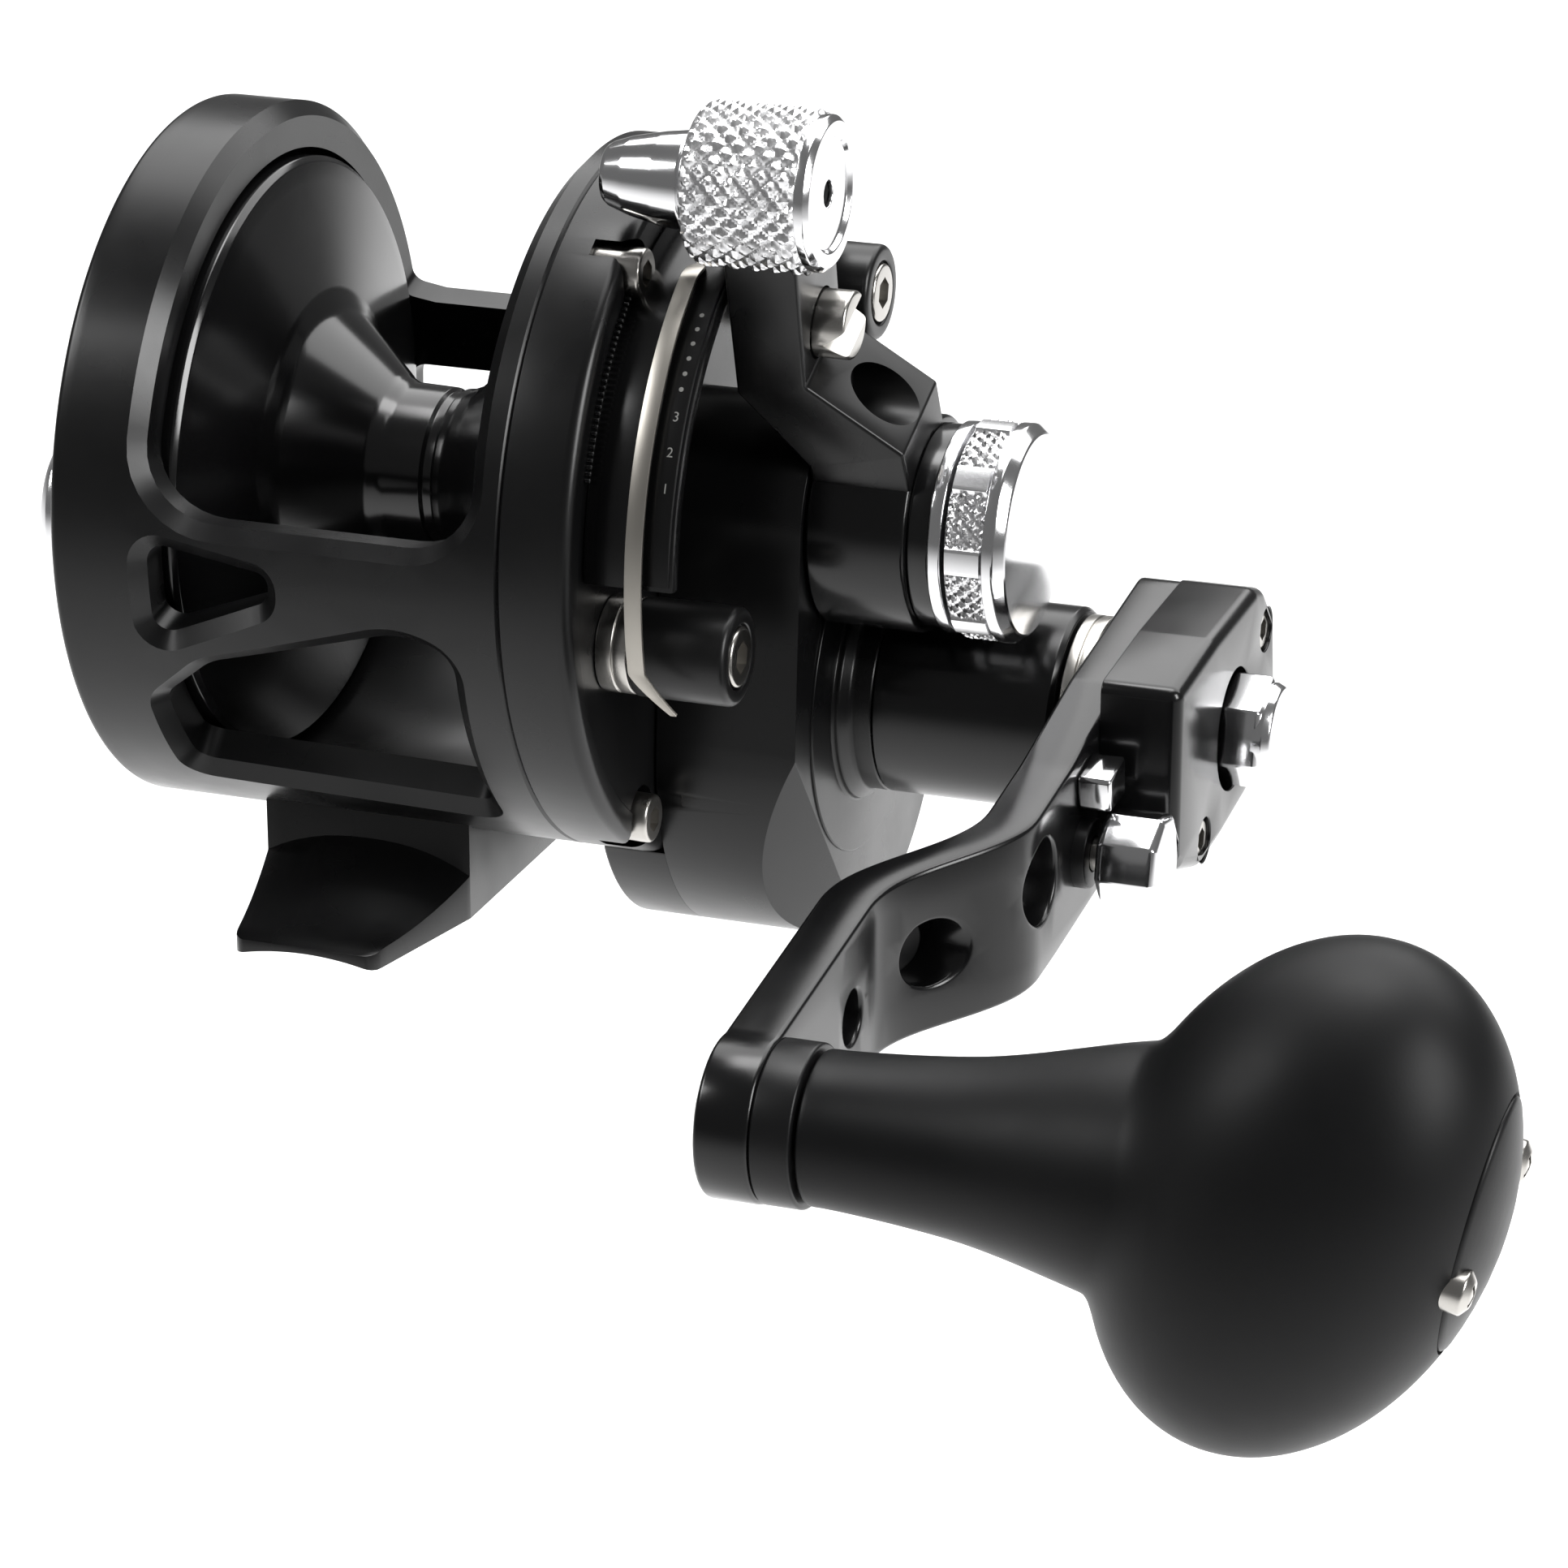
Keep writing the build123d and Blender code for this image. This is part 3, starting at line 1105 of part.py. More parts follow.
# handle arm: flat blade with one S-bend
ARM_SIDE = (
    (-WALL_REACH, ARM_X), (BEND_IN_Y, ARM_X), (BEND_OUT_Y, ARM_X - ARM_DROP),
    (-PIVOT_Y + WALL_REACH, ARM_X - ARM_DROP), (-PIVOT_Y + WALL_REACH, ARM_X - ARM_DROP + ARM_T),
    (BEND_OUT_Y, ARM_X - ARM_DROP + ARM_T), (BEND_IN_Y, ARM_X + ARM_T), (-WALL_REACH, ARM_X + ARM_T),
)
BEND_TILT = math.atan2(ARM_DROP, BEND_OUT_Y - BEND_IN_Y)
BEND_PLANE = Plane(
    origin=(LEFT_X + ARM_X - ARM_DROP / 2, BEND_HOLE_Y, AXIS_Z + BEND_HOLE_Z),
    x_dir=(0, 0, 1),
    z_dir=(math.cos(BEND_TILT), -math.sin(BEND_TILT), 0),
)
with BuildPart() as handle_arm:
    with BuildSketch(face_at(ARM_X - ARM_DROP)):
        Polygon(*ARM_OUTLINE, align=None)
        with Locations((PIVOT_Y, PIVOT_Z)):
            Circle(PIVOT_R)
    extrude(amount=ARM_DROP + ARM_T)
    with BuildSketch(Plane(origin=(LEFT_X, 0, 0), x_dir=(0, -1, 0), z_dir=(0, 0, 1))):
        side = Polygon(*ARM_SIDE, align=None)
        bends = side.vertices().filter_by(lambda v: -BEND_OUT_Y - 1 < v.Y < -BEND_IN_Y + 1)
        fillet(bends, BEND_R)
    extrude(amount=AXIS_Z, mode=Mode.INTERSECT)
    for hole_y, hole_z, hole_r in ARM_HOLES:
        with BuildSketch(face_at(0, hole_y, hole_z)):
            Circle(hole_r)
        extrude(amount=BLOCK_END, mode=Mode.SUBTRACT)
    with BuildSketch(BEND_PLANE):
        Circle(BEND_HOLE_R)
    extrude(amount=2 * ARM_T, both=True, mode=Mode.SUBTRACT)
    with BuildSketch(face_at(0, HANDLE_Y, HANDLE_Z)):
        Circle(SHAFT2_R)
    extrude(amount=BLOCK_END, mode=Mode.SUBTRACT)
    with BuildSketch(face_at(0, PIVOT_Y, PIVOT_Z)):
        Circle(SPINDLE_R)
    extrude(amount=BLOCK_END, mode=Mode.SUBTRACT)
    with BuildSketch(face_at(0)):
        with Locations(*BLOCK_SCREWS):
            Circle(SCREW_SHANK_R)
    extrude(amount=BLOCK_END, mode=Mode.SUBTRACT)
    with BuildSketch(face_at(0, RELEASE_Y, RELEASE_Z)):
        Circle(RELEASE_STEM_R + FIT)
    extrude(amount=BLOCK_END, mode=Mode.SUBTRACT)
handle_arm.part.label = "handle_arm"
export_step(handle_arm.part, "parts/handle_arm.step")

# hub block clamped on the arm
with BuildPart() as hub_block:
    with BuildSketch(face_at(ARM_X + ARM_T)):
        Polygon(*BLOCK_OUTLINE, align=None)
    extrude(amount=BLOCK_END - ARM_X - ARM_T)
    chamfer(hub_block.edges().group_by(Axis.X)[-1], BLOCK_EDGE)
    with BuildSketch(face_at(ARM_X, HANDLE_Y, HANDLE_Z)):
        Circle(SHAFT2_R)
    extrude(amount=BLOCK_END - ARM_X, mode=Mode.SUBTRACT)
    with BuildSketch(face_at(SHAFT2_END, HANDLE_Y, HANDLE_Z)):
        Circle(BLOCK_RECESS_R)
    extrude(amount=BLOCK_END - SHAFT2_END, mode=Mode.SUBTRACT)
    with BuildSketch(face_at(ARM_X)):
        with Locations(*BLOCK_SCREWS):
            Circle(SCREW_SHANK_R)
    extrude(amount=BLOCK_END - ARM_X, mode=Mode.SUBTRACT)
    with BuildSketch(face_at(BLOCK_END)):
        with Locations(*BLOCK_SCREWS):
            Circle(BLOCK_SCREW_R)
    extrude(amount=-ARM_T / 2, mode=Mode.SUBTRACT)
hub_block.part.label = "hub_block"
export_step(hub_block.part, "parts/hub_block.step")

# hub block screws
with BuildPart() as hub_screws:
    with BuildSketch(face_at(ARM_X + 1)):
        with Locations(*BLOCK_SCREWS):
            Circle(SCREW_SHANK_R)
    extrude(amount=BLOCK_END - ARM_T / 2 - ARM_X - 1)
    with BuildSketch(face_at(BLOCK_END - ARM_T / 2)):
        with Locations(*BLOCK_SCREWS):
            Circle(BLOCK_SCREW_R)
            RegularPolygon(SOCKET_FLAT, HEX, mode=Mode.SUBTRACT)
    extrude(amount=ARM_T / 2 - GAP)
hub_screws.part.label = "hub_screws"
export_step(hub_screws.part, "parts/hub_screws.step")

# hexagonal shift button and its rod
with BuildPart() as shift_button:
    with BuildSketch(face_at(SHIFT_X, HANDLE_Y, HANDLE_Z)):
        RegularPolygon(SHIFT_R, HEX)
    extrude(amount=SHIFT_END - SHIFT_X)
    chamfer(shift_button.edges().group_by(Axis.X)[-1], GAP)
shift_button.part.label = "shift_button"
export_step(shift_button.part, "parts/shift_button.step")

with BuildPart() as shift_rod:
    with BuildSketch(face_at(SHIFT_ROD_X, HANDLE_Y, HANDLE_Z)):
        Circle(SHIFT_ROD_R)
    extrude(amount=SHIFT_X - SHIFT_ROD_X)
shift_rod.part.label = "shift_rod"
export_step(shift_rod.part, "parts/shift_rod.step")

# release button on its neck, and the latch above it
with BuildPart() as release_neck:
    with BuildSketch(face_at(ARM_X + ARM_T, RELEASE_Y, RELEASE_Z)):
        Circle(RELEASE_NECK_R)
        Circle(RELEASE_STEM_R + FIT, mode=Mode.SUBTRACT)
    extrude(amount=RELEASE_NECK_END - ARM_X - ARM_T)
release_neck.part.label = "release_neck"
export_step(release_neck.part, "parts/release_neck.step")

with BuildPart() as release_button:
    with BuildSketch(face_at(RELEASE_X, RELEASE_Y, RELEASE_Z)):
        RegularPolygon(RELEASE_R, RELEASE_FLATS)
    extrude(amount=RELEASE_END - RELEASE_X)
    chamfer(release_button.edges().group_by(Axis.X)[-1], BLOCK_EDGE)
    with BuildSketch(face_at(RELEASE_STEM_X, RELEASE_Y, RELEASE_Z)):
        Circle(RELEASE_STEM_R)
    extrude(amount=RELEASE_X - RELEASE_STEM_X)
release_button.part.label = "release_button"
export_step(release_button.part, "parts/release_button.step")

with BuildPart() as release_latch:
    with BuildSketch(face_at(ARM_X + ARM_T)):
        Polygon(*LATCH, align=None)
    extrude(amount=LATCH_END - ARM_X - ARM_T)
    chamfer(release_latch.edges().group_by(Axis.X)[-1], GAP)
release_latch.part.label = "release_latch"
export_step(release_latch.part, "parts/release_latch.step")

# power knob spindle, fixed in the arm's end
with BuildPart() as knob_spindle:
    with BuildSketch(face_at(ARM_X - ARM_DROP, PIVOT_Y, PIVOT_Z)):
        Circle(SPINDLE_R)
    extrude(amount=SPINDLE_END - ARM_X + ARM_DROP)
    with BuildSketch(face_at(SPINDLE_X, PIVOT_Y, PIVOT_Z)):
        Circle(SPINDLE_HEAD_R)
    extrude(amount=ARM_X - ARM_DROP - SPINDLE_X)
knob_spindle.part.label = "knob_spindle"
export_step(knob_spindle.part, "parts/knob_spindle.step")

with BuildPart() as knob_collar:
    with BuildSketch(face_at(COLLAR_X, PIVOT_Y, PIVOT_Z)):
        Circle(COLLAR_R)
        Circle(SPINDLE_R, mode=Mode.SUBTRACT)
    extrude(amount=COLLAR_END - COLLAR_X)
    chamfer(knob_collar.edges().filter_by(GeomType.CIRCLE).sort_by(SortBy.RADIUS)[-1], GAP)
knob_collar.part.label = "knob_collar"
export_step(knob_collar.part, "parts/knob_collar.step")

with BuildPart() as spindle_nut:
    with BuildSketch(face_at(GRIP_NUT_X + GAP, PIVOT_Y, PIVOT_Z)):
        RegularPolygon(GRIP_NUT_R, HEX)
        Circle(SPINDLE_R, mode=Mode.SUBTRACT)
    extrude(amount=GRIP_NUT_END - GRIP_NUT_X - GAP)
spindle_nut.part.label = "spindle_nut"
export_step(spindle_nut.part, "parts/spindle_nut.step")

# bearings inside the grip
with BuildPart() as knob_bearings:
    for x in (GRIP_BEARING_A, GRIP_BEARING_B):
        with BuildSketch(face_at(x, PIVOT_Y, PIVOT_Z)):
            Circle(GRIP_BEARING_R)
            Circle(SPINDLE_R + FIT, mode=Mode.SUBTRACT)
        extrude(amount=BEARING_T)
knob_bearings.part.label = "knob_bearings"
export_step(knob_bearings.part, "parts/knob_bearings.step")

# power grip: a neck that runs into an egg-shaped end, set a little off square
TILT = math.radians(EGG_TILT)
TURN = math.radians(EGG_TURN)
LONG_DIR = Vector(math.sin(TILT), math.cos(TILT) * math.cos(TURN), math.cos(TILT) * math.sin(TURN))
SHORT_DIR = Vector(0, -math.sin(TURN), math.cos(TURN))
EGG_NORMAL = LONG_DIR.cross(SHORT_DIR)


def egg_plane(station):
    x = LEFT_X + EGG_X + EGG_HALF * station
    return Plane(origin=(x, PIVOT_Y, AXIS_Z + PIVOT_Z), x_dir=LONG_DIR, z_dir=EGG_NORMAL)


CAP_PLANE = egg_plane(EGG_STATIONS[-1])
with BuildPart() as knob_grip:
    for station in EGG_STATIONS:
        ring = math.sqrt(1 - station**2)
        with BuildSketch(egg_plane(station)):
            Ellipse(EGG_LONG * ring, EGG_SHORT * ring)
    loft()
    with BuildSketch(section(PIVOT_Y, PIVOT_Z)):
        with BuildLine():
            Spline(*GRIP_NECK)
            Polyline(
                GRIP_NECK[-1],
                (GRIP_NECK_END, GRIP_NECK[-1][1]),
                (GRIP_NECK_END, 0),
                (GRIP_X, 0),
                GRIP_NECK[0],
            )
        make_face()
    revolve(axis=spin_axis(PIVOT_Y, PIVOT_Z))
    with BuildSketch(face_at(GRIP_X, PIVOT_Y, PIVOT_Z)):
        Circle(GRIP_BORE_R)
    extrude(amount=SPINDLE_END - GRIP_X, mode=Mode.SUBTRACT)
    with BuildSketch(face_at(GRIP_X, PIVOT_Y, PIVOT_Z)):
        Circle(GRIP_BEARING_R)
    extrude(amount=GRIP_BEARING_A + BEARING_T - GRIP_X, mode=Mode.SUBTRACT)
    with BuildSketch(face_at(GRIP_BEARING_B, PIVOT_Y, PIVOT_Z)):
        Circle(GRIP_BEARING_R)
    extrude(amount=GRIP_NUT_X - GRIP_BEARING_B, mode=Mode.SUBTRACT)
    with BuildSketch(face_at(GRIP_NUT_X, PIVOT_Y, PIVOT_Z)):
        Circle(GRIP_CHAMBER_R)
    extrude(amount=GRIP_NUT_X, mode=Mode.SUBTRACT)
    with BuildSketch(CAP_PLANE):
        with Locations(*CAP_SCREWS):
            Circle(SCREW_SHANK_R)
    extrude(amount=-ARM_T, mode=Mode.SUBTRACT)
knob_grip.part.label = "knob_grip"
export_step(knob_grip.part, "parts/knob_grip.step")

# plain oval end cap and its two screws
with BuildPart() as knob_end_cap:
    with BuildSketch(CAP_PLANE):
        Ellipse(CAP_LONG, CAP_SHORT)
        with Locations(*CAP_SCREWS):
            Circle(SCREW_SHANK_R, mode=Mode.SUBTRACT)
    extrude(amount=CAP_T)
knob_end_cap.part.label = "knob_end_cap"
export_step(knob_end_cap.part, "parts/knob_end_cap.step")

with BuildPart() as end_cap_screws:
    with BuildSketch(CAP_PLANE.offset(CAP_T)):
        with Locations(*CAP_SCREWS):
            Circle(CAP_SCREW_R)
    extrude(amount=SOCKET_FLAT)
    with BuildSketch(CAP_PLANE.offset(CAP_T)):
        with Locations(*CAP_SCREWS):
            Circle(SCREW_SHANK_R)
    extrude(amount=-CAP_T - ARM_T / 2)
end_cap_screws.part.label = "end_cap_screws"
export_step(end_cap_screws.part, "parts/end_cap_screws.step")
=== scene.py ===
import math

import bmesh
import bpy
import numpy as np
from mathutils import Matrix, Vector
from mathutils.geometry import delaunay_2d_cdt

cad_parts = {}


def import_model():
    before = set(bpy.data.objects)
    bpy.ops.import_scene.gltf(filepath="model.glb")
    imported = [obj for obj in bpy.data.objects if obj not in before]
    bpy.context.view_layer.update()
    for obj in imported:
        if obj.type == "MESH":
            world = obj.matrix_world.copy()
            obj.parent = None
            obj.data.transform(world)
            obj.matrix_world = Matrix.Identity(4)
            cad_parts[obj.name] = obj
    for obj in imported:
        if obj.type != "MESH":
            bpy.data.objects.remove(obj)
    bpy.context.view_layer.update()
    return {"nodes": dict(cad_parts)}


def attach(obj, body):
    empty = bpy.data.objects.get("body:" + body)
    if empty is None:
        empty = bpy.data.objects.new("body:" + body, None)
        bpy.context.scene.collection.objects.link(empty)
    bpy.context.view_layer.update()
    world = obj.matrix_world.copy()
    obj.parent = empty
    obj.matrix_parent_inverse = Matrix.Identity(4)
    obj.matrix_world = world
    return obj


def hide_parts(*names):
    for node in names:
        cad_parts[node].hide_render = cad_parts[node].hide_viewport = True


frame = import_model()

scene = bpy.context.scene
MM = 0.001
LEFT_X = -23.3
AXIS_Z = 38.0
HANDLE = (8.0, -19.42)
PIVOT = (-70.3, -28.1)
LEVER_ANGLE = 65.4
TAU = 2 * math.pi
CREASE = 34

# stations along the spool's axis, in millimetres from the left plate's face
FRAME_END = 43.5
SIDE_END = 50.2
HOUSING_END = 63.7
BARREL_X = 67.4
BARREL_END = 84.7
ARM_LOW = 87.3
ARM_TOP = 92.1
BLOCK_END = 99.5
HUB_END = 73.3
KNOB_RING = 38.0
STRIKE_RING = 23.05
CHAMFER_DROP = 4.3
CHAMFER_RUN = 6.05
SCREW_RING = 30.2
SCREW_ANGLES = (58.5, -59.5, 122.0, 168.0)
PRINT_R = 29.37
STRIP_R = 30.35


def world(p):
    """Millimetres from the left plate's face and the spool axis, to the row frame in metres."""
    return Vector(((p[0] + LEFT_X) * MM, p[1] * MM, (p[2] + AXIS_Z) * MM))


def polar(radius, angle):
    a = math.radians(angle)
    return (-radius * math.cos(a), radius * math.sin(a))


# --- materials
def new_material(name):
    m = bpy.data.materials.new(name)
    m.use_nodes = True
    nt = m.node_tree
    return m, nt, nt.nodes["Principled BSDF"]


def noise(nt, scale, detail=3.0, rough=0.5, stretch=(1, 1, 1)):
    tc = nt.nodes.new("ShaderNodeTexCoord")
    mp = nt.nodes.new("ShaderNodeMapping")
    mp.inputs["Scale"].default_value = stretch
    n = nt.nodes.new("ShaderNodeTexNoise")
    n.inputs["Scale"].default_value = scale
    n.inputs["Detail"].default_value = detail
    n.inputs["Roughness"].default_value = rough
    nt.links.new(tc.outputs["Object"], mp.inputs["Vector"])
    nt.links.new(mp.outputs["Vector"], n.inputs["Vector"])
    return n


def ramp(nt, src, lo, hi, low_at=0.35, high_at=0.65):
    r = nt.nodes.new("ShaderNodeMapRange")
    r.inputs["From Min"].default_value = low_at
    r.inputs["From Max"].default_value = high_at
    r.inputs["To Min"].default_value = lo
    r.inputs["To Max"].default_value = hi
    nt.links.new(src, r.inputs["Value"])
    return r.outputs["Result"]


def bump(nt, b, height, strength, distance):
    n = nt.nodes.new("ShaderNodeBump")
    n.inputs["Strength"].default_value = strength
    n.inputs["Distance"].default_value = distance
    nt.links.new(height, n.inputs["Height"])
    nt.links.new(n.outputs["Normal"], b.inputs["Normal"])


def surface(name, colour, metallic, rough, spread=0.04, grain=900.0, stretch=(1, 1, 1), strength=0.06,
            distance=0.00004, spec=0.5, coat=0.0, coat_rough=0.1, tint=0.12):
    """A finish with uneven roughness, a faint tone shift and a fine grain."""
    m, nt, b = new_material(name)
    b.inputs["Metallic"].default_value = metallic
    b.inputs["Specular IOR Level"].default_value = spec
    b.inputs["Coat Weight"].default_value = coat
    b.inputs["Coat Roughness"].default_value = coat_rough
    wear = noise(nt, 55.0, 4.0, 0.55)
    nt.links.new(ramp(nt, wear.outputs["Fac"], rough - spread, rough + spread), b.inputs["Roughness"])
    tone = nt.nodes.new("ShaderNodeMix")
    tone.data_type = "RGBA"
    tone.inputs[6].default_value = (*[c * (1 - tint) for c in colour], 1)
    tone.inputs[7].default_value = (*[min(1.0, c * (1 + tint)) for c in colour], 1)
    broad = noise(nt, 24.0, 2.0)
    nt.links.new(broad.outputs["Fac"], tone.inputs[0])
    nt.links.new(tone.outputs[2], b.inputs["Base Color"])
    fine = noise(nt, grain, 2.0, 0.6, stretch)
    bump(nt, b, fine.outputs["Fac"], strength, distance)
    return m


BLACK = surface("black_anodised", (0.0028, 0.0028, 0.003), 0.0, 0.29, 0.05, 2600.0, strength=0.05,
    spec=0.32)
BLACK_GLOSS = surface("black_gloss", (0.0035, 0.0035, 0.0037), 0.0, 0.17, 0.03, 900.0, (0.15, 1, 1), 0.03,
    spec=0.5)
BLACK_SATIN = surface("black_satin", (0.0028, 0.0028, 0.003), 0.0, 0.22, 0.04, 2200.0, strength=0.04,
    spec=0.40)
CHROME = surface("chrome", (0.78, 0.78, 0.79), 1.0, 0.13, 0.02, 700.0, strength=0.012, tint=0.03)
KNURL = surface("chrome_knurl", (0.9, 0.9, 0.91), 1.0, 0.26, 0.03, 1500.0, strength=0.03, tint=0.06)
STEEL = surface("screw_steel", (0.47, 0.455, 0.43), 1.0, 0.25, 0.06, 1400.0, (1, 6, 6), 0.08, tint=0.08)
STRIP = surface("strip_steel", (0.40, 0.38, 0.345), 1.0, 0.36, 0.05, 900.0, (1, 0.2, 0.2), 0.1, tint=0.06)
POLISHED = surface("polished_aluminium", (0.78, 0.78, 0.79), 1.0, 0.16, 0.05, 800.0, (0.2, 1, 1), 0.05,
    tint=0.05)
GEAR = surface("gear_steel", (0.47, 0.46, 0.44), 1.0, 0.35, 0.08, 1200.0, strength=0.1)
CARBON = surface("drag_carbon", (0.02, 0.02, 0.02), 0.0, 0.6, 0.1, 1800.0, (1, 4, 1), 0.3)
RUBBER = surface("grip_rubber", (0.0034, 0.0035, 0.0038), 0.0, 0.45, 0.05, 4200.0, strength=0.1,
    distance=0.00004, spec=0.17)
SLEEVE = surface("stop_rubber", (0.0042, 0.0042, 0.0044), 0.0, 0.34, 0.05, 3500.0, strength=0.1, spec=0.34)
TRIM = surface("black_trim", (0.0045, 0.0045, 0.0048), 0.0, 0.38, 0.06, 3000.0, strength=0.12, spec=0.24)
DARK = surface("shadow_gap", (0.002, 0.002, 0.002), 0.0, 0.7, 0.05, 2000.0, strength=0.1, spec=0.1)
MARK = surface("scale_print", (0.22, 0.22, 0.21), 0.0, 0.5, 0.06, 2500.0, strength=0.1)


# --- mesh helpers
def finish_piece(name, verts, faces, mat, body, angle=CREASE, weld=0.0):
    me = bpy.data.meshes.new(name)
    me.from_pydata([world(v) for v in verts], [], faces)
    bm = bmesh.new()
    bm.from_mesh(me)
    if weld:
        bmesh.ops.remove_doubles(bm, verts=bm.verts, dist=weld * MM)
    bmesh.ops.dissolve_degenerate(bm, dist=1e-8, edges=bm.edges)
    bmesh.ops.recalc_face_normals(bm, faces=bm.faces)
    bm.to_mesh(me)
    bm.free()
    ob = bpy.data.objects.new(name, me)
    scene.collection.objects.link(ob)
    me.materials.append(mat)
    shade(ob, angle)
    if body:
        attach(ob, body)
    return ob


def join(a, b):
    """Quads between two closed rings of equal length."""
    n = len(a)
    return [(a[i], a[(i + 1) % n], b[(i + 1) % n], b[i]) for i in range(n)]


def prism_faces(n):
    """Faces of a prism whose two ends have n corners each."""
    ring = list(range(n))
    return [tuple(ring), tuple(range(2 * n - 1, n - 1, -1))] + [(i, (i + 1) % n, n + (i + 1) % n,
        n + i) for i in ring]


def shade(ob, angle=CREASE):
    me = ob.data
    me.polygons.foreach_set("use_smooth", [True] * len(me.polygons))
    me.set_sharp_from_angle(angle=math.radians(angle))
    me.update()


def apply_mods(ob, angle=CREASE):
    dg = bpy.context.evaluated_depsgraph_get()
    me = bpy.data.meshes.new_from_object(ob.evaluated_get(dg), depsgraph=dg)
    old = ob.data
    ob.modifiers.clear()
    ob.data = me
    bpy.data.meshes.remove(old)
    shade(ob, angle)
    return ob


def cut(ob, tool, angle=CREASE):
    """Takes tool's shape out of ob and removes the tool."""
    m = ob.modifiers.new("cut", "BOOLEAN")
    m.operation = "DIFFERENCE"
    m.solver = "EXACT"
    m.object = tool
    bpy.context.view_layer.update()
    apply_mods(ob, angle)
    bpy.data.objects.remove(tool)
    return ob


def bevel(ob, width, segments=3, angle=CREASE, limit=28):
    m = ob.modifiers.new("edge", "BEVEL")
    m.width = width * MM
    m.segments = segments
    m.limit_method = "ANGLE"
    m.angle_limit = math.radians(limit)
    m.harden_normals = False
    bpy.context.view_layer.update()
    return apply_mods(ob, angle)


def rounded(points, radii, steps=5, closed=False):
    """Polyline with its corners rounded. radii is one number or one per point."""
    n = len(points)
    radii = [radii] * n if isinstance(radii, (int, float)) else list(radii)
    out = []
    for i in range(n):
        p = Vector(points[i])
        if (not closed and i in (0, n - 1)) or radii[i] <= 0:
            out.append(tuple(p))
            continue
        a, b = Vector(points[i - 1]) - p, Vector(points[(i + 1) % n]) - p
        la, lb = a.length, b.length
        if la < 1e-6 or lb < 1e-6:
            out.append(tuple(p))
            continue
        a, b = a / la, b / lb
        half = math.acos(max(-1, min(1, a.dot(b)))) / 2
        if half > math.pi / 2 - 0.02:
            out.append(tuple(p))
            continue
        d = min(radii[i] / math.tan(half), 0.49 * la, 0.49 * lb)
        r = d * math.tan(half)
        c = p + (a + b).normalized() * (r / math.sin(half))
        s, e = p + a * d - c, p + b * d - c
        a0 = math.atan2(s.y, s.x)
        da = math.atan2(e.y, e.x) - a0
        da = (da + math.pi) % TAU - math.pi
        for k in range(steps + 1):
            t = a0 + da * k / steps
            out.append((c.x + r * math.cos(t), c.y + r * math.sin(t)))
    return out


def lathe(name, profile, mat, body, slot, y=0.0, z=0.0, seg=128, closed=True, angle=CREASE, bumpy=None):
    """Turns (x, r) points about an axis parallel to X through y, z. bumpy(x, r, a) may move r."""
    verts, rings = [], []
    for x, r in profile:
        if r <= 1e-6:
            rings.append([len(verts)])
            verts.append((x, y, z))
            continue
        ring = []
        for k in range(seg):
            a = TAU * k / seg
            rr = bumpy(x, r, a) if bumpy else r
            ring.append(len(verts))
            verts.append((x, y + rr * math.cos(a), z + rr * math.sin(a)))
        rings.append(ring)
    faces = []
    pairs = list(zip(rings, rings[1:])) + ([(rings[-1], rings[0])] if closed else [])
    for p, q in pairs:
        if len(p) == 1 and len(q) == 1:
            continue
        for k in range(seg):
            k2 = (k + 1) % seg
            if len(p) == 1:
                faces.append((p[0], q[k], q[k2]))
            elif len(q) == 1:
                faces.append((p[k], q[0], p[k2]))
            else:
                faces.append((p[k], q[k], q[k2], p[k2]))
    return finish_piece(name, verts, faces, mat, body, angle)


def circle(cy, cz, r, n=48, start=0.0):
    return [(cy + r * math.cos(start + TAU * k / n),
        cz + r * math.sin(start + TAU * k / n)) for k in range(n)]


def area(loop):
    return 0.5 * sum(a[0] * b[1] - b[0] * a[1] for a, b in zip(loop, loop[1:] + loop[:1]))


def ccw(loop):
    return loop if area(loop) > 0 else loop[::-1]


def shift_loop(loop, d):
    """Moves a counter-clockwise loop outward by d, or inward where d is negative."""
    out = []
    n = len(loop)
    for i in range(n):
        p = Vector(loop[i])
        a, b = (p - Vector(loop[i - 1])).normalized(), (Vector(loop[(i + 1) % n]) - p).normalized()
        na, nb = Vector((a.y, -a.x)), Vector((b.y, -b.x))
        m = na + nb
        k = m.length
        m = m / k if k > 1e-6 else na
        out.append(tuple(p + m * (d / max(0.35, m.dot(na)))))
    return out


def inside(points, loop):
    pts = np.asarray(points, float)
    x, y = pts[:, 0], pts[:, 1]
    hit = np.zeros(len(pts), bool)
    lp = np.asarray(loop, float)
    for (x0, y0), (x1, y1) in zip(lp, np.roll(lp, -1, 0)):
        cross = (y0 > y) != (y1 > y)
        with np.errstate(divide="ignore", invalid="ignore"):
            at = (x1 - x0) * (y - y0) / (y1 - y0) + x0
        hit ^= cross & (x < at)
    return hit


def near(points, loop, dist):
    pts = np.asarray(points, float)
    best = np.full(len(pts), 1e9)
    lp = np.asarray(loop, float)
    for p, q in zip(lp, np.roll(lp, -1, 0)):
        d = q - p
        l2 = max(1e-12, float(d @ d))
        t = np.clip(((pts - p) @ d) / l2, 0, 1)
        best = np.minimum(best, np.hypot(*(pts - p - t[:, None] * d).T))
    return best < dist


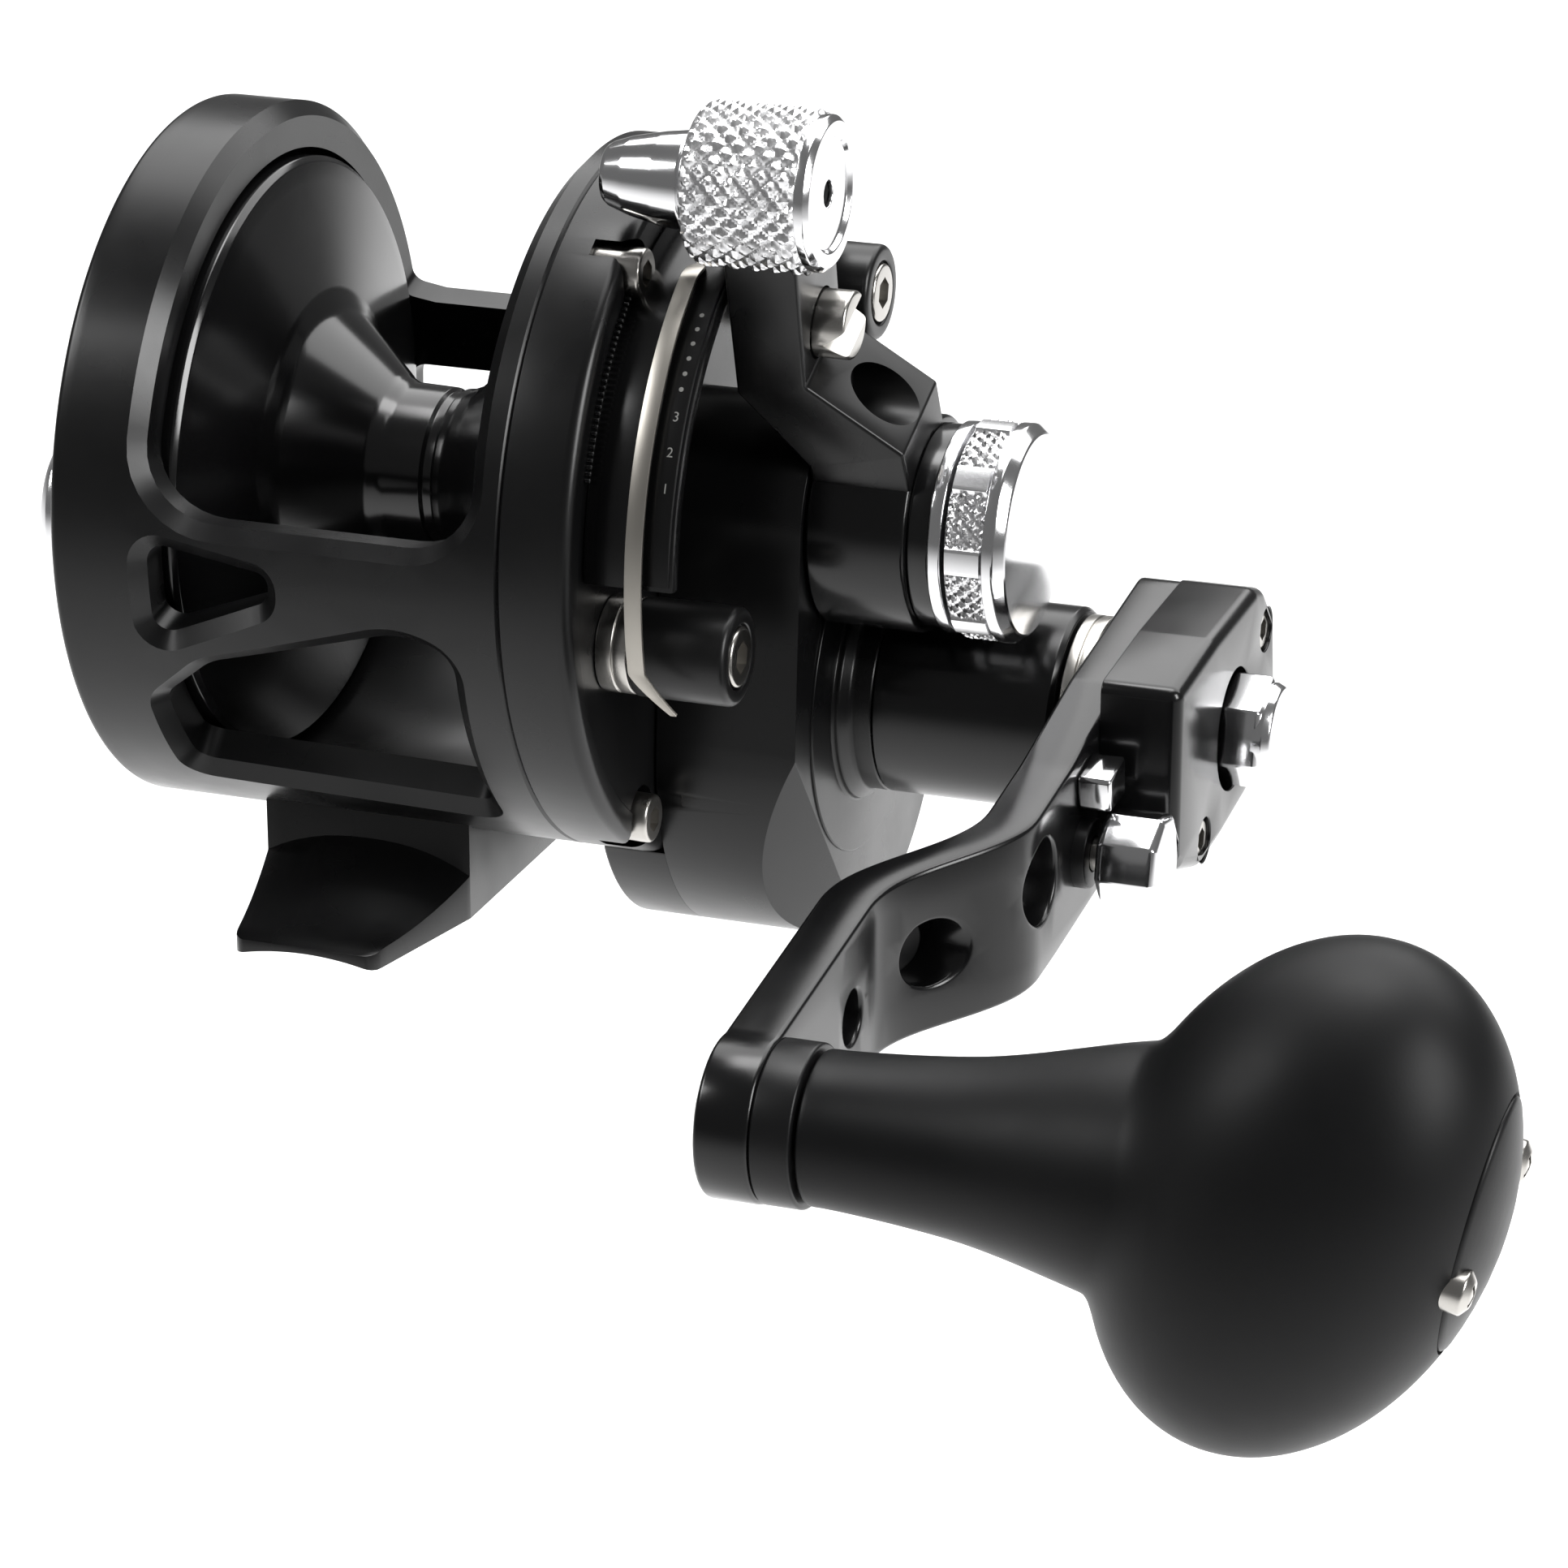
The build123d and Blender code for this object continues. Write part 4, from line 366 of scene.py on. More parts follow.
def fill(outer, holes, grid=()):
    """Triangles covering outer without the holes. Returns points, triangles and each loop's indices."""
    pts, edges, loops = [], [], []
    for loop in [outer, *holes]:
        base = len(pts)
        pts += [Vector(p) for p in loop]
        idx = list(range(base, base + len(loop)))
        loops.append(idx)
        edges += list(zip(idx, idx[1:] + idx[:1]))
    if len(grid):
        g = np.asarray(grid, float)
        keep = inside(g, outer) & ~near(g, outer, 0.35)
        for h in holes:
            keep &= ~inside(g, h) & ~near(g, h, 0.35)
        pts += [Vector(p) for p in g[keep]]
    v, _, f, orig, _, _ = delaunay_2d_cdt(pts, edges, [], 0, 1e-5)
    where = {}
    for i, o in enumerate(orig):
        for j in o:
            where[j] = i
    mid = np.array([[(v[a].x + v[b].x + v[c].x) / 3, (v[a].y + v[b].y + v[c].y) / 3] for a, b, c in f])
    ok = inside(mid, outer)
    for h in holes:
        ok &= ~inside(mid, h)
    tris = [t for t, k in zip(f, ok) if k]
    return [(p.x, p.y) for p in v], tris, [[where[j] for j in loop] for loop in loops]


def slab(name, outer, holes, top, bottom, mat, body, edge=0.4, steps=3, grid=(), angle=CREASE,
    hole_edge=None, weld=0.0,
         low_edge=None):
    """A plate from a 2D outline. top(u, v, depth) and bottom(u, v, height) place points.
    The rims of both faces are rounded by edge."""
    outer = ccw(outer)
    holes = [ccw(h) for h in holes]
    hole_edge = edge if hole_edge is None else hole_edge
    low_edge = edge if low_edge is None else low_edge
    verts, faces = [], []

    def layer(amount, t):
        o = shift_loop(outer, -amount * (1 - math.sin(t))) if amount else outer
        hs = [shift_loop(h, hole_edge * (1 - math.sin(t))) for h in holes]
        depth = 1 - math.cos(t)
        return [(o, amount * depth)] + [(h, hole_edge * depth) for h in hs]

    chains = []
    for place, amount in ((top, edge), (bottom, low_edge)):
        first = layer(amount, 0.0)
        pts, tris, loops = fill(first[0][0], [h for h, _ in first[1:]], grid)
        base = len(verts)
        verts += [place(u, v, 0.0) for u, v in pts]
        faces += [tuple(base + i for i in t) for t in tris]
        rows = [[[base + i for i in loop] for loop in loops]]
        for s in range(1, steps + 1):
            t = math.pi / 2 * s / steps
            row = []
            for loop, depth in layer(amount, t):
                b = len(verts)
                verts += [place(u, v, depth) for u, v in loop]
                row.append(list(range(b, b + len(loop))))
            rows.append(row)
        for r0, r1 in zip(rows, rows[1:]):
            for a, b in zip(r0, r1):
                faces += join(a, b)
        chains.append(rows[-1])
    for a, b in zip(chains[0], chains[1]):
        faces += join(a, b)
    return finish_piece(name, verts, faces, mat, body, angle, weld)


def flat(x0, x1):
    return (lambda u, v, d: (x1 - d, u, v)), (lambda u, v, d: (x0 + d, u, v))


def plate(name, outer, holes, x0, x1, mat, body, edge=0.4, steps=3, hole_edge=None, low_edge=None):
    t, b = flat(x0, x1)
    return slab(name, outer, holes, t, b, mat, body, edge, steps, hole_edge=hole_edge,
        low_edge=low_edge)


def tube_tool(x0, x1, y, z, r, seg=64):
    return lathe("tool", [(x0, 0), (x0, r), (x1, r), (x1, 0)], DARK, None, "", y, z, seg, closed=False)


def hexagon(y, z, r, turn=0.0):
    return [(y + r * math.cos(turn + math.pi / 3 * k),
        z + r * math.sin(turn + math.pi / 3 * k)) for k in range(6)]


def socket_head(name, y, z, r, x0, x1, mat, body, slot, af=1.25, depth=1.1, edge=0.35, turn=0.3):
    """Round screw head with a real hexagon socket."""
    head = lathe(name, rounded([(x0, 0), (x0, r), (x1, r), (x1, 0)], [0, 0.05, edge, 0]), mat, body, slot,
        y, z, 48, closed=False)
    pts = hexagon(y, z, af, turn)
    verts = [(x1 - depth, a, b) for a, b in pts] + [(x1 + 1, a, b) for a, b in pts]
    faces = prism_faces(6)
    tool = finish_piece("tool", verts, faces, mat, None)
    cut(head, tool)
    return head


def swap(ob, *nodes):
    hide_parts(*nodes)
    return ob


# --- frame
R = 33.0
R_IN = 28.7
CHAMFER = 1.35
S = math.radians(1) * R


def window(points, radii):
    loop = rounded([(x, a * S) for x, a in points], radii, 8, closed=True)
    dense = []
    for p, q in zip(loop, loop[1:] + loop[:1]):
        n = max(1, int(math.dist(p, q) / 1.0))
        dense += [(p[0] + (q[0] - p[0]) * k / n, p[1] + (q[1] - p[1]) * k / n) for k in range(n)]
    return ccw(dense)


windows = [window([(7.4, 3.7), (42.0, 3.7), (41.6, 30.0), (41.6, 150.0), (42.0, 167.5), (36.0, 167.6),
    (12.0, 167.6), (7.4, 166.0), (7.4, 60.0)], [8.5, 11.0, 0, 0, 4.0, 0, 0, 4.0, 0]),
    window([(7.7, 4.9), (22.2, 0.6), (22.2, -7.4), (7.7, -18.8)], [3.0, 3.4, 3.0, 3.0]),
    window([(7.5, -48.5), (7.5, -26.0), (13.4, -16.8), (33.5, -6.2), (39.8, -10.4), (39.2, -52.2)],
    [3.2, 4.0, 7.0, 9.0, 8.0, 3.0]), window([(7.6, 176.6), (39.6, 176.6), (39.6, 222.0), (7.6, 222.0)],
    [3.0, 3.0, 3.0, 3.0]), ]


def around(x, s, r):
    a = s / R
    return (x, -r * math.cos(a), r * math.sin(a))


SEG = 240
LO, HI = -90 * S, 270 * S
rows = [LO + (HI - LO) * k / SEG for k in range(SEG + 1)]
X_EDGE0, X_EDGE1 = 1.5, 43.25
border = [(X_EDGE0, s) for s in reversed(rows)] + [(X_EDGE1, s) for s in rows]
border = ccw(border)
grid = [(x, s) for s in rows[1:-1] for x in (4.5, 7.2, 12, 17, 22, 27, 32, 37, 41.8)]

verts, faces = [], []
pts, tris, loops = fill(border, windows, grid)
verts += [around(x, s, R) for x, s in pts]
faces += tris
inner_windows = [shift_loop(w, -CHAMFER) for w in windows]
outer_rings = loops[1:]
chamfer_rings = []
for w in inner_windows:
    b = len(verts)
    verts += [around(x, s, R - CHAMFER) for x, s in w]
    chamfer_rings.append(list(range(b, b + len(w))))
X_IN0 = 3.0
border_in = ccw([(X_IN0, s) for s in reversed(rows)] + [(X_EDGE1, s) for s in rows])
pts, tris, loops = fill(border_in, inner_windows, grid)
base = len(verts)
verts += [around(x, s, R_IN) for x, s in pts]
faces += [tuple(base + i for i in t) for t in tris]
inner_rings = [[base + i for i in l] for l in loops[1:]]
for ring_a, ring_b in list(zip(outer_rings, chamfer_rings)) + list(zip(chamfer_rings, inner_rings)):
    faces += join(ring_a, ring_b)


def add_turned(profile, verts, faces):
    """Turned surface sharing the shell's angular steps, so that the seams weld."""
    prev = None
    for x, r in profile:
        if r <= 1e-6:
            ring = [len(verts)] * (SEG + 1)
            verts.append((x, 0, 0))
        else:
            ring = list(range(len(verts), len(verts) + SEG + 1))
            verts += [around(x, s, r) for s in rows]
        if prev:
            for k in range(SEG):
                f = [prev[k], prev[k + 1], ring[k + 1], ring[k]]
                g = []
                for i in f:
                    if i not in g:
                        g.append(i)
                faces.append(tuple(g))
        prev = ring


left = rounded([(X_EDGE0, R), (0, R), (0, 27.6)], [0, 1.5, 0], 6)
add_turned(left + [(0.0, 27.4), (0.3, 27.1), (0.3, 0)], verts, faces)
add_turned([(X_IN0, R_IN), (X_IN0, 6.5), (5.0, 6.5), (5.0, 0)], verts, faces)
add_turned([(X_EDGE1, R), (FRAME_END, R - 0.25), (FRAME_END, R_IN + 0.2), (X_EDGE1, R_IN)], verts, faces)
body_shell = finish_piece("frame_shell", verts, faces, BLACK, "reel_body", 30, weld=0.004)
swap(body_shell, "frame")

# --- foot
FOOT_X = 23.0


def foot_section(y):
    """Half widths and heights of the foot at a distance y from its middle."""
    t = max(0.0, (y - 16.3) / 15.0)
    wide = 10.25 + (6.9 - 10.25) * t
    if t > 0.93:
        k = (t - 0.93) / 0.07
        wide -= 1.1 * (1 - math.sqrt(max(0.0, 1 - k * k)))
    return wide, t


foot_verts, foot_faces, foot_rings = [], [], []
stations = [-31.3 + 0.02, -31.2, -31.0, -30.6, -30.0, -29.2, -28.2, -27, -25.5, -24, -22, -20.2, -18.8,
    -17.6, -16.9, -16.3]
stations = stations + [-16.29] + [-16.2, -12, -6, 0, 6, 12,
    16.2] + [16.29] + [-s for s in reversed(stations)]
for y in stations:
    d = abs(y)
    wide, t = foot_section(d)
    ring = []
    post = d < 16.295
    m = 14
    for k in range(m + 1):
        u = -1 + 2 * k / m
        x = u * wide
        if post:
            z = -math.sqrt(R * R - y * y)
        else:
            sweep = (1 - t) ** 2.1
            mid = -36.2 + 4.9 * sweep
            side = -36.2 + 2.4 * sweep
            z = mid + (side - mid) * abs(u) ** 2.4 - 0.35 * max(0.0, t - 0.9) / 0.1
        ring.append((FOOT_X + x, y, z))
    under = []
    for k in range(m + 1):
        u = 1 - 2 * k / m
        x = u * wide
        z = -38.0 + max(0.0, 0.86 - 28 + math.sqrt(28 ** 2 - x * x))
        under.append((FOOT_X + x, y, z))
    idx = list(range(len(foot_verts), len(foot_verts) + 2 * m + 2))
    foot_verts += ring + under
    foot_rings.append(idx)
for a, b in zip(foot_rings, foot_rings[1:]):
    foot_faces += join(a, b)
for r in (foot_rings[0], foot_rings[-1]):
    half = len(r) // 2
    foot_faces += [(r[i], r[i + 1], r[len(r) - 2 - i], r[len(r) - 1 - i]) for i in range(half - 1)]
foot = finish_piece("foot_saddle", foot_verts, foot_faces, BLACK, "reel_body", 26)
bevel(foot, 0.35, 3, 30, 38)
swap(foot, "reel_foot")
for i, (dx, dy) in enumerate([(-6, -9), (6, -9), (-6, 9), (6, 9)]):
    head = lathe(f"foot_screw_{i}", [(0, 0), (0, 2.8), (2.2, 2.8), (2.2, 0)], STEEL, None, "", seg=40,
        closed=False)
    for v in head.data.vertices:
        p = v.co - world((0, 0, 0))
        v.co = world((FOOT_X + dx + p.y / MM, dy + p.z / MM, -37.1 + p.x / MM))
    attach(head, "reel_body")
    if i == 0:
        swap(head, "foot_screws")

# --- clicker
CY, CZ = -20.0, 0.0
click = lathe("clicker_cap", rounded([(-0.3, 0), (-0.3, 6.9), (-0.7, 7.3), (-3.2, 7.3), (-4.1, 6.4),
    (-4.1, 3.4), (-3.7, 3.0), (-3.7, 0)], [0, 0.2, 0.2, 0.25, 0.2, 0.1, 0.1, 0], 4), POLISHED, "clicker",
    "polished_aluminium", CY, CZ, 96, closed=False)
swap(click, "clicker_knob")
lathe("clicker_stem", [(-0.3, 0), (-0.3, 2.0), (7.2, 2.0), (7.2, 0)], STEEL, "clicker",
    "polished_aluminium", CY, CZ, 32, closed=False)

# --- spool
half = [(5.4, 26.4), (5.4, 27.6), (5.8, 28.0), (9.5, 28.0), (10.0, 27.5), (10.4, 25.8), (12.6, 15.6),
    (13.5, 14.0), (20.0, 8.3), (21.2, 7.8)]
prof = half + [(25.2, 7.7), (25.5, 7.35), (26.3, 7.35), (26.6, 7.7), (27.4, 7.8), (28.6, 8.3),
    (35.1, 14.0), (36.0, 15.6), (38.2, 25.8), (38.6, 27.5), (38.9, 28.0), (42.9, 28.0), (43.2, 27.6),
    (43.2, 26.4), (40.4, 26.4), (40.4, 14.0), (37.8, 13.0), (37.8, 4.6), (5.8, 4.6), (5.8, 7.0),
    (7.6, 7.0), (7.6, 15.0), (8.0, 16.0), (8.0, 26.4)]
radii = [0.2] + [0.35] * 4 + [1.5, 3.0, 3.0, 2.0, 2.0] + [0.1, 0.1, 0.1, 0.1, 2.0, 2.0, 3.0, 3.0, 1.5,
    0.35, 0.35, 0.35, 0.3, 0.2] + [0.1] * 10
spool = lathe("spool_body", rounded(prof, radii, 5, closed=True), BLACK_GLOSS, "spool",
    "spool_gloss_black", seg=192, angle=30)
swap(spool, "spool")

# --- side plate
side = lathe("side_plate_body", rounded([(FRAME_END, 4.3), (FRAME_END, 26.5), (FRAME_END, 32.75),
    (43.75, 33.0), (SIDE_END, 33.0), (SIDE_END, 30.6), (49.95, 30.35), (49.95, 4.3)],
    [0, 0, 0.05, 0.05, 1.7, 0.1, 0.1, 0], 6, closed=True), BLACK, "reel_body", "black_anodised", seg=240,
    angle=30)
SCREWS = [polar(SCREW_RING, a) for a in SCREW_ANGLES]
for i, (y, z) in enumerate(SCREWS):
    cut(side, tube_tool(46.7, 52, y, z, 2.95), 30)
    s = socket_head(f"plate_screw_{i}", y, z, 2.25, 46.6, 51.3, STEEL, "reel_body", "screw_steel")
    if i == 0:
        swap(s, "side_plate_screws")
swap(side, "side_plate")

# --- gear housing
HY, HZ = HANDLE
BOSS_R, LOBE, LOBE_R = 10.4, (9.5, -22.5), 21.5


def hull_outline(seg=160):
    """Convex outline round the boss and the lobe."""
    out = []
    for k in range(seg):
        a = TAU * k / seg
        n = (math.cos(a), math.sin(a))
        if n[0] * LOBE[0] + n[1] * LOBE[1] + LOBE_R > BOSS_R:
            out.append((LOBE[0] + LOBE_R * n[0], LOBE[1] + LOBE_R * n[1]))
        else:
            out.append((BOSS_R * n[0], BOSS_R * n[1]))
    dense = []
    for p, q in zip(out, out[1:] + out[:1]):
        n = max(1, int(math.dist(p, q) / 2.0))
        dense += [(p[0] + (q[0] - p[0]) * j / n, p[1] + (q[1] - p[1]) * j / n) for j in range(n)]
    return dense


def prism(name, outline, x0, x1, mat, body, angle=CREASE):
    n = len(outline)
    v = [(x0, y, z) for y, z in outline] + [(x1, y, z) for y, z in outline]
    return finish_piece(name, v, prism_faces(n), mat, body, angle)


housing = prism("gear_case", hull_outline(), SIDE_END, HOUSING_END, BLACK, "reel_body")
# flat on the lower front corner
c0, c1 = Vector((-12.0, -20.1)), Vector((0.8, -36.5))
along = (c1 - c0).normalized()
out_dir = Vector((along.y, -along.x))
if out_dir.dot(Vector((-1, -1))) < 0:
    out_dir = -out_dir
face_pt = world((HOUSING_END, c0.x, c0.y))
cross_dir = Vector((0, along.x, along.y))
run = Vector((-CHAMFER_DROP, out_dir.x * CHAMFER_RUN, out_dir.y * CHAMFER_RUN)).normalized()
normal = cross_dir.cross(run).normalized()
if normal.x < 0:
    normal = -normal
bm = bmesh.new()
bm.from_mesh(housing.data)
res = bmesh.ops.bisect_plane(bm, geom=bm.verts[:] + bm.edges[:] + bm.faces[:], plane_co=face_pt,
    plane_no=normal, clear_outer=True)
rim = [e for e in res["geom_cut"] if isinstance(e, bmesh.types.BMEdge)]
bmesh.ops.edgeloop_fill(bm, edges=rim)
bmesh.ops.recalc_face_normals(bm, faces=bm.faces)
bm.to_mesh(housing.data)
bm.free()
ny, nz = SCREWS[1]
cut(housing, tube_tool(43, 52.6, ny, nz, 3.7), CREASE)
bevel(housing, 0.5, 3, 32, 30)
swap(housing, "gear_housing")

# the part of the lobe that wraps beside the side plate
a_steps = 64
outer_arc, inner_arc = [], []
d_c = math.hypot(*LOBE)
base_dir = math.atan2(LOBE[1], LOBE[0])
lim = math.acos(max(-1, min(1, ((R + 0.1) ** 2 - LOBE_R ** 2 - d_c ** 2) / (2 * LOBE_R * d_c))))
lim_r = math.acos(max(-1, min(1, ((R + 0.1) ** 2 + d_c ** 2 - LOBE_R ** 2) / (2 * (R + 0.1) * d_c))))
for k in range(a_steps + 1):
    a = base_dir - lim + 2 * lim * k / a_steps
    outer_arc.append((LOBE[0] + LOBE_R * math.cos(a), LOBE[1] + LOBE_R * math.sin(a)))
for k in range(a_steps + 1):
    a = base_dir + lim_r - 2 * lim_r * k / a_steps
    inner_arc.append(((R + 0.1) * math.cos(a), (R + 0.1) * math.sin(a)))
wrap = prism("gear_case_skirt", outer_arc + inner_arc[1:-1], 44.0, 50.4, BLACK, "reel_body")
cut(wrap, tube_tool(43, 52.6, ny, nz, 3.7), CREASE)
bevel(wrap, 2.2, 5, 32, 60)

neck = lathe("housing_neck", rounded([(60, 0), (60, 15.8), (63.95, 15.8), (63.95, 10.7), (64.6, 10.7),
    (65.4, 9.6), (67.25, 9.6), (BARREL_X, 9.45), (BARREL_X, 0)], [0, 0, 0.15, 0.6, 0.3, 0.6, 0.1, 0.1, 0],
    5), BLACK, "reel_body", "black_anodised", HY, HZ, 160, closed=False)
# trims the neck's flange to the same slanted flat as the case
bm = bmesh.new()
bm.from_mesh(neck.data)
res = bmesh.ops.bisect_plane(bm, geom=bm.verts[:] + bm.edges[:] + bm.faces[:],
    plane_co=face_pt + Vector((0.0002, 0, 0)), plane_no=normal, clear_outer=True)
bm.to_mesh(neck.data)
bm.free()
shade(neck)
cover = lathe("housing_barrel", rounded([(BARREL_X, 0), (BARREL_X, 9.35), (67.6, 9.6), (84.2, 9.6),
    (BARREL_END, 9.2), (BARREL_END, 6.0), (84.3, 6.0), (84.3, 0)], [0, 0.05, 0.1, 0.3, 0.3, 0.1, 0.1, 0],
    5), BLACK_SATIN, "reel_body", "black_anodised", HY, HZ, 128, closed=False)
swap(cover, "housing_cover")

# --- quadrant
def band(name, r0, r1, x0, x1, a0, a1, mat, edge=0.15, steps=120):
    outline = [(x0, r0), (x1, r0), (x1, r1), (x0, r1)]
    prof2 = rounded(outline, edge, 2, closed=True)
    v, f, rings2 = [], [], []
    for k in range(steps + 1):
        a = a0 + (a1 - a0) * k / steps
        ring = []
        for x, r in prof2:
            y, z = polar(r, a)
            ring.append(len(v))
            v.append((x, y, z))
        rings2.append(ring)
    for p, q in zip(rings2, rings2[1:]):
        f += join(p, q)
    f += [tuple(rings2[0]), tuple(reversed(rings2[-1]))]
    return finish_piece(name, v, f, mat, "reel_body", 32)


drum = band("quadrant_wall", 27.4, 29.0, 50.0, 58.5, 2.0, 124.0, BLACK_SATIN, 0.3)
swap(drum, "quadrant_plate")
band("quadrant_lip", 28.4, 29.35, 55.7, 58.2, 3.0, 123.0, BLACK, 0.2)
# row of fine beads beside the quadrant
for k in range(34):
    a = 20 + k * 1.15 * 1.0
    y, z = polar(28.2, a)
    bead = lathe(f"track_bead_{k}", rounded([(50.0, 0), (50.0, 0.2), (50.55, 0.2), (50.55, 0)],
        [0, 0, 0.08, 0], 3), BLACK_SATIN, None, "", *polar(29.75, a), 10, closed=False)
    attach(bead, "reel_body")


def on_drum(x, a, r=PRINT_R):
    y, z = polar(r, a)
    return world((x, y, z))


def dot(name, x, a, r=0.2):
    n = 14
    v, f = [], []
    for k in range(n):
        t = TAU * k / n
        v.append(on_drum(x + r * math.cos(t), a + math.degrees(r * math.sin(t) / PRINT_R)))
    me = bpy.data.meshes.new(name)
    me.from_pydata([*v], [], [tuple(range(n))])
    ob = bpy.data.objects.new(name, me)
    scene.collection.objects.link(ob)
    me.materials.append(MARK)
    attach(ob, "reel_body")
    return ob


for k in range(6):
    dot(f"scale_dot_{k}", 57.3, 37.5 + 2.9 * k, 0.22)
for k, digit in enumerate("123"):
    cu = bpy.data.curves.new(f"scale_numeral_{digit}", "FONT")
    cu.body = digit
    cu.size = 1.25
    cu.align_x = "CENTER"
    cu.align_y = "CENTER"
    ob = bpy.data.objects.new(f"scale_numeral_{digit}", cu)
    scene.collection.objects.link(ob)
    bpy.context.view_layer.update()
    me = bpy.data.meshes.new_from_object(ob.evaluated_get(bpy.context.evaluated_depsgraph_get()))
    bpy.data.objects.remove(ob)
    a = 20.0 + 6.25 * k
    for v in me.vertices:
        u, w = v.co.x, v.co.y
        v.co = on_drum(57.35 + u, a + math.degrees(w / PRINT_R))
    ob = bpy.data.objects.new(f"scale_numeral_{digit}", me)
    scene.collection.objects.link(ob)
    me.materials.clear()
    me.materials.append(MARK)
    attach(ob, "reel_body")

# spring steel strip: turned in at the top, out at the foot
v, f, rings3 = [], [], []
steps = 150
for k in range(steps + 1):
    t = k / steps
    a = -19.5 + 83.0 * t
    r = STRIP_R
    x = 55.3
    if a > 58:
        r -= 1.15 * ((a - 58) / 5.5) ** 1.5
    flare = max(0.0, (-12.5 - a) / 7.0)
    x += 3.2 * flare ** 1.2
    r += 0.4 * flare
    w = 0.8 - 0.5 * flare ** 1.5
    if a > 61:
        w = 0.8 - 0.35 * ((a - 61) / 2.5) ** 2
    ring = []
    for dx, dr in rounded([(-w, -0.2), (w, -0.2), (w, 0.2), (-w, 0.2)], 0.08, 2, closed=True):
        y, z = polar(r + dr, a)
        ring.append(len(v))
        v.append((x + dx, y, z))
    rings3.append(ring)
for p, q in zip(rings3, rings3[1:]):
    f += join(p, q)
f += [tuple(rings3[0]), tuple(reversed(rings3[-1]))]
strip = finish_piece("quadrant_spring", v, f, STRIP, "reel_body", 32)
swap(strip, "quadrant_strip")

# --- posts
for i, (y, z) in enumerate([(-22.0, -6.8), (16.5, 16.2)]):
    collar = lathe(f"post_collar_{i}", rounded([(50.0, 1.5), (50.0, 4.4), (51.5, 4.4), (51.6, 4.25),
        (51.75, 4.25), (51.85, 4.4), (53.0, 4.4), (53.0, 1.5)], [0, 0.1, 0.05, 0.02, 0.02, 0.05, 0.2, 0],
        3, closed=True), STEEL, "reel_body", "screw_steel", y, z, 64)
    sleeve = lathe(f"post_sleeve_{i}", rounded([(53.05, 1.5), (53.05, 4.5), (62.2, 4.5), (62.2, 3.0),
        (61.6, 3.0), (61.6, 1.5)], [0, 0.35, 0.6, 0.2, 0, 0], 4, closed=True), SLEEVE, "reel_body",
        "stop_rubber", y, z, 64)
    head = socket_head(f"post_screw_{i}", y, z, 2.75, 60.7, 62.35, STEEL, "reel_body", "screw_steel", 1.5,
        1.2, 0.3)
    if i == 0:
        swap(collar, "post_collars")
        swap(sleeve, "post_sleeves")
        swap(head, "post_screws")

# --- drag lever
LA = math.radians(LEVER_ANGLE)
UP = Vector((0, -math.cos(LA), math.sin(LA)))
ACROSS = Vector((0, -math.sin(LA), -math.cos(LA)))


def lever_pt(x, r, t):
    return (x, r * UP.y + t * ACROSS.y, r * UP.z + t * ACROSS.z)


arm = rounded([(59.7, 37.0), (58.4, 18.2), (64.0, 10.2), (64.0, 3.0), (HUB_END, 3.0), (HUB_END, 12.8),
    (65.1, 19.7), (66.6, 37.0)], [0, 0.8, 0.3, 0, 0, 0.5, 0.8, 0], 5, closed=True)
top_f = lambda u, v, d: lever_pt(u, v, 5.2 - d)
bot_f = lambda u, v, d: lever_pt(u, v, -5.2 + d)
lever = slab("lever_arm", arm, [], top_f, bot_f, BLACK, "lever", 0.35, 3)
# oval pocket, bored along the spool's axis into the slanted neck
v = []
n = 48
for x in (66.3, 76.0):
    for k in range(n):
        t = TAU * k / n
        v.append(lever_pt(x, 15.3 + 2.35 * math.cos(t), 3.0 * math.sin(t)))
cut(lever, finish_piece("tool", v, prism_faces(n), DARK, None), CREASE)
ky, kz = polar(KNOB_RING, LEVER_ANGLE)
sy, sz = polar(STRIKE_RING, LEVER_ANGLE)
cut(lever, tube_tool(64.0, 70, sy, sz, 3.3), CREASE)
cut(lever, tube_tool(59.2, 65, sy, sz, 1.8), CREASE)
swap(lever, "drag_lever")
lathe("lever_hub", rounded([(64.0, 4.6), (64.0, 9.8), (64.2, 10.0), (HUB_END, 10.0), (HUB_END, 4.6)],
    [0, 0.1, 0.1, 0.4, 0], 4, closed=True), BLACK_SATIN, "lever", "black_anodised", seg=128)
ring1 = lathe("hub_washer", rounded([(HUB_END, 2.3), (HUB_END, 9.3), (75.4, 9.3), (75.4, 2.3)],
    [0, 0.2, 0.25, 0], 4, closed=True), BLACK_GLOSS, "lever", "black_anodised", seg=128)
swap(ring1, "hub_ring")
ring2 = lathe("preset_base", rounded([(75.4, 2.3), (75.4, 9.7), (76.6, 9.7), (76.6, 2.3)],
    [0, 0.15, 0.15, 0], 3, closed=True), CHROME, "lever", "polished_aluminium", seg=128)
swap(ring2, "preset_ring")


def tri(t):
    t = t % 1.0
    return 1 - abs(2 * t - 1)


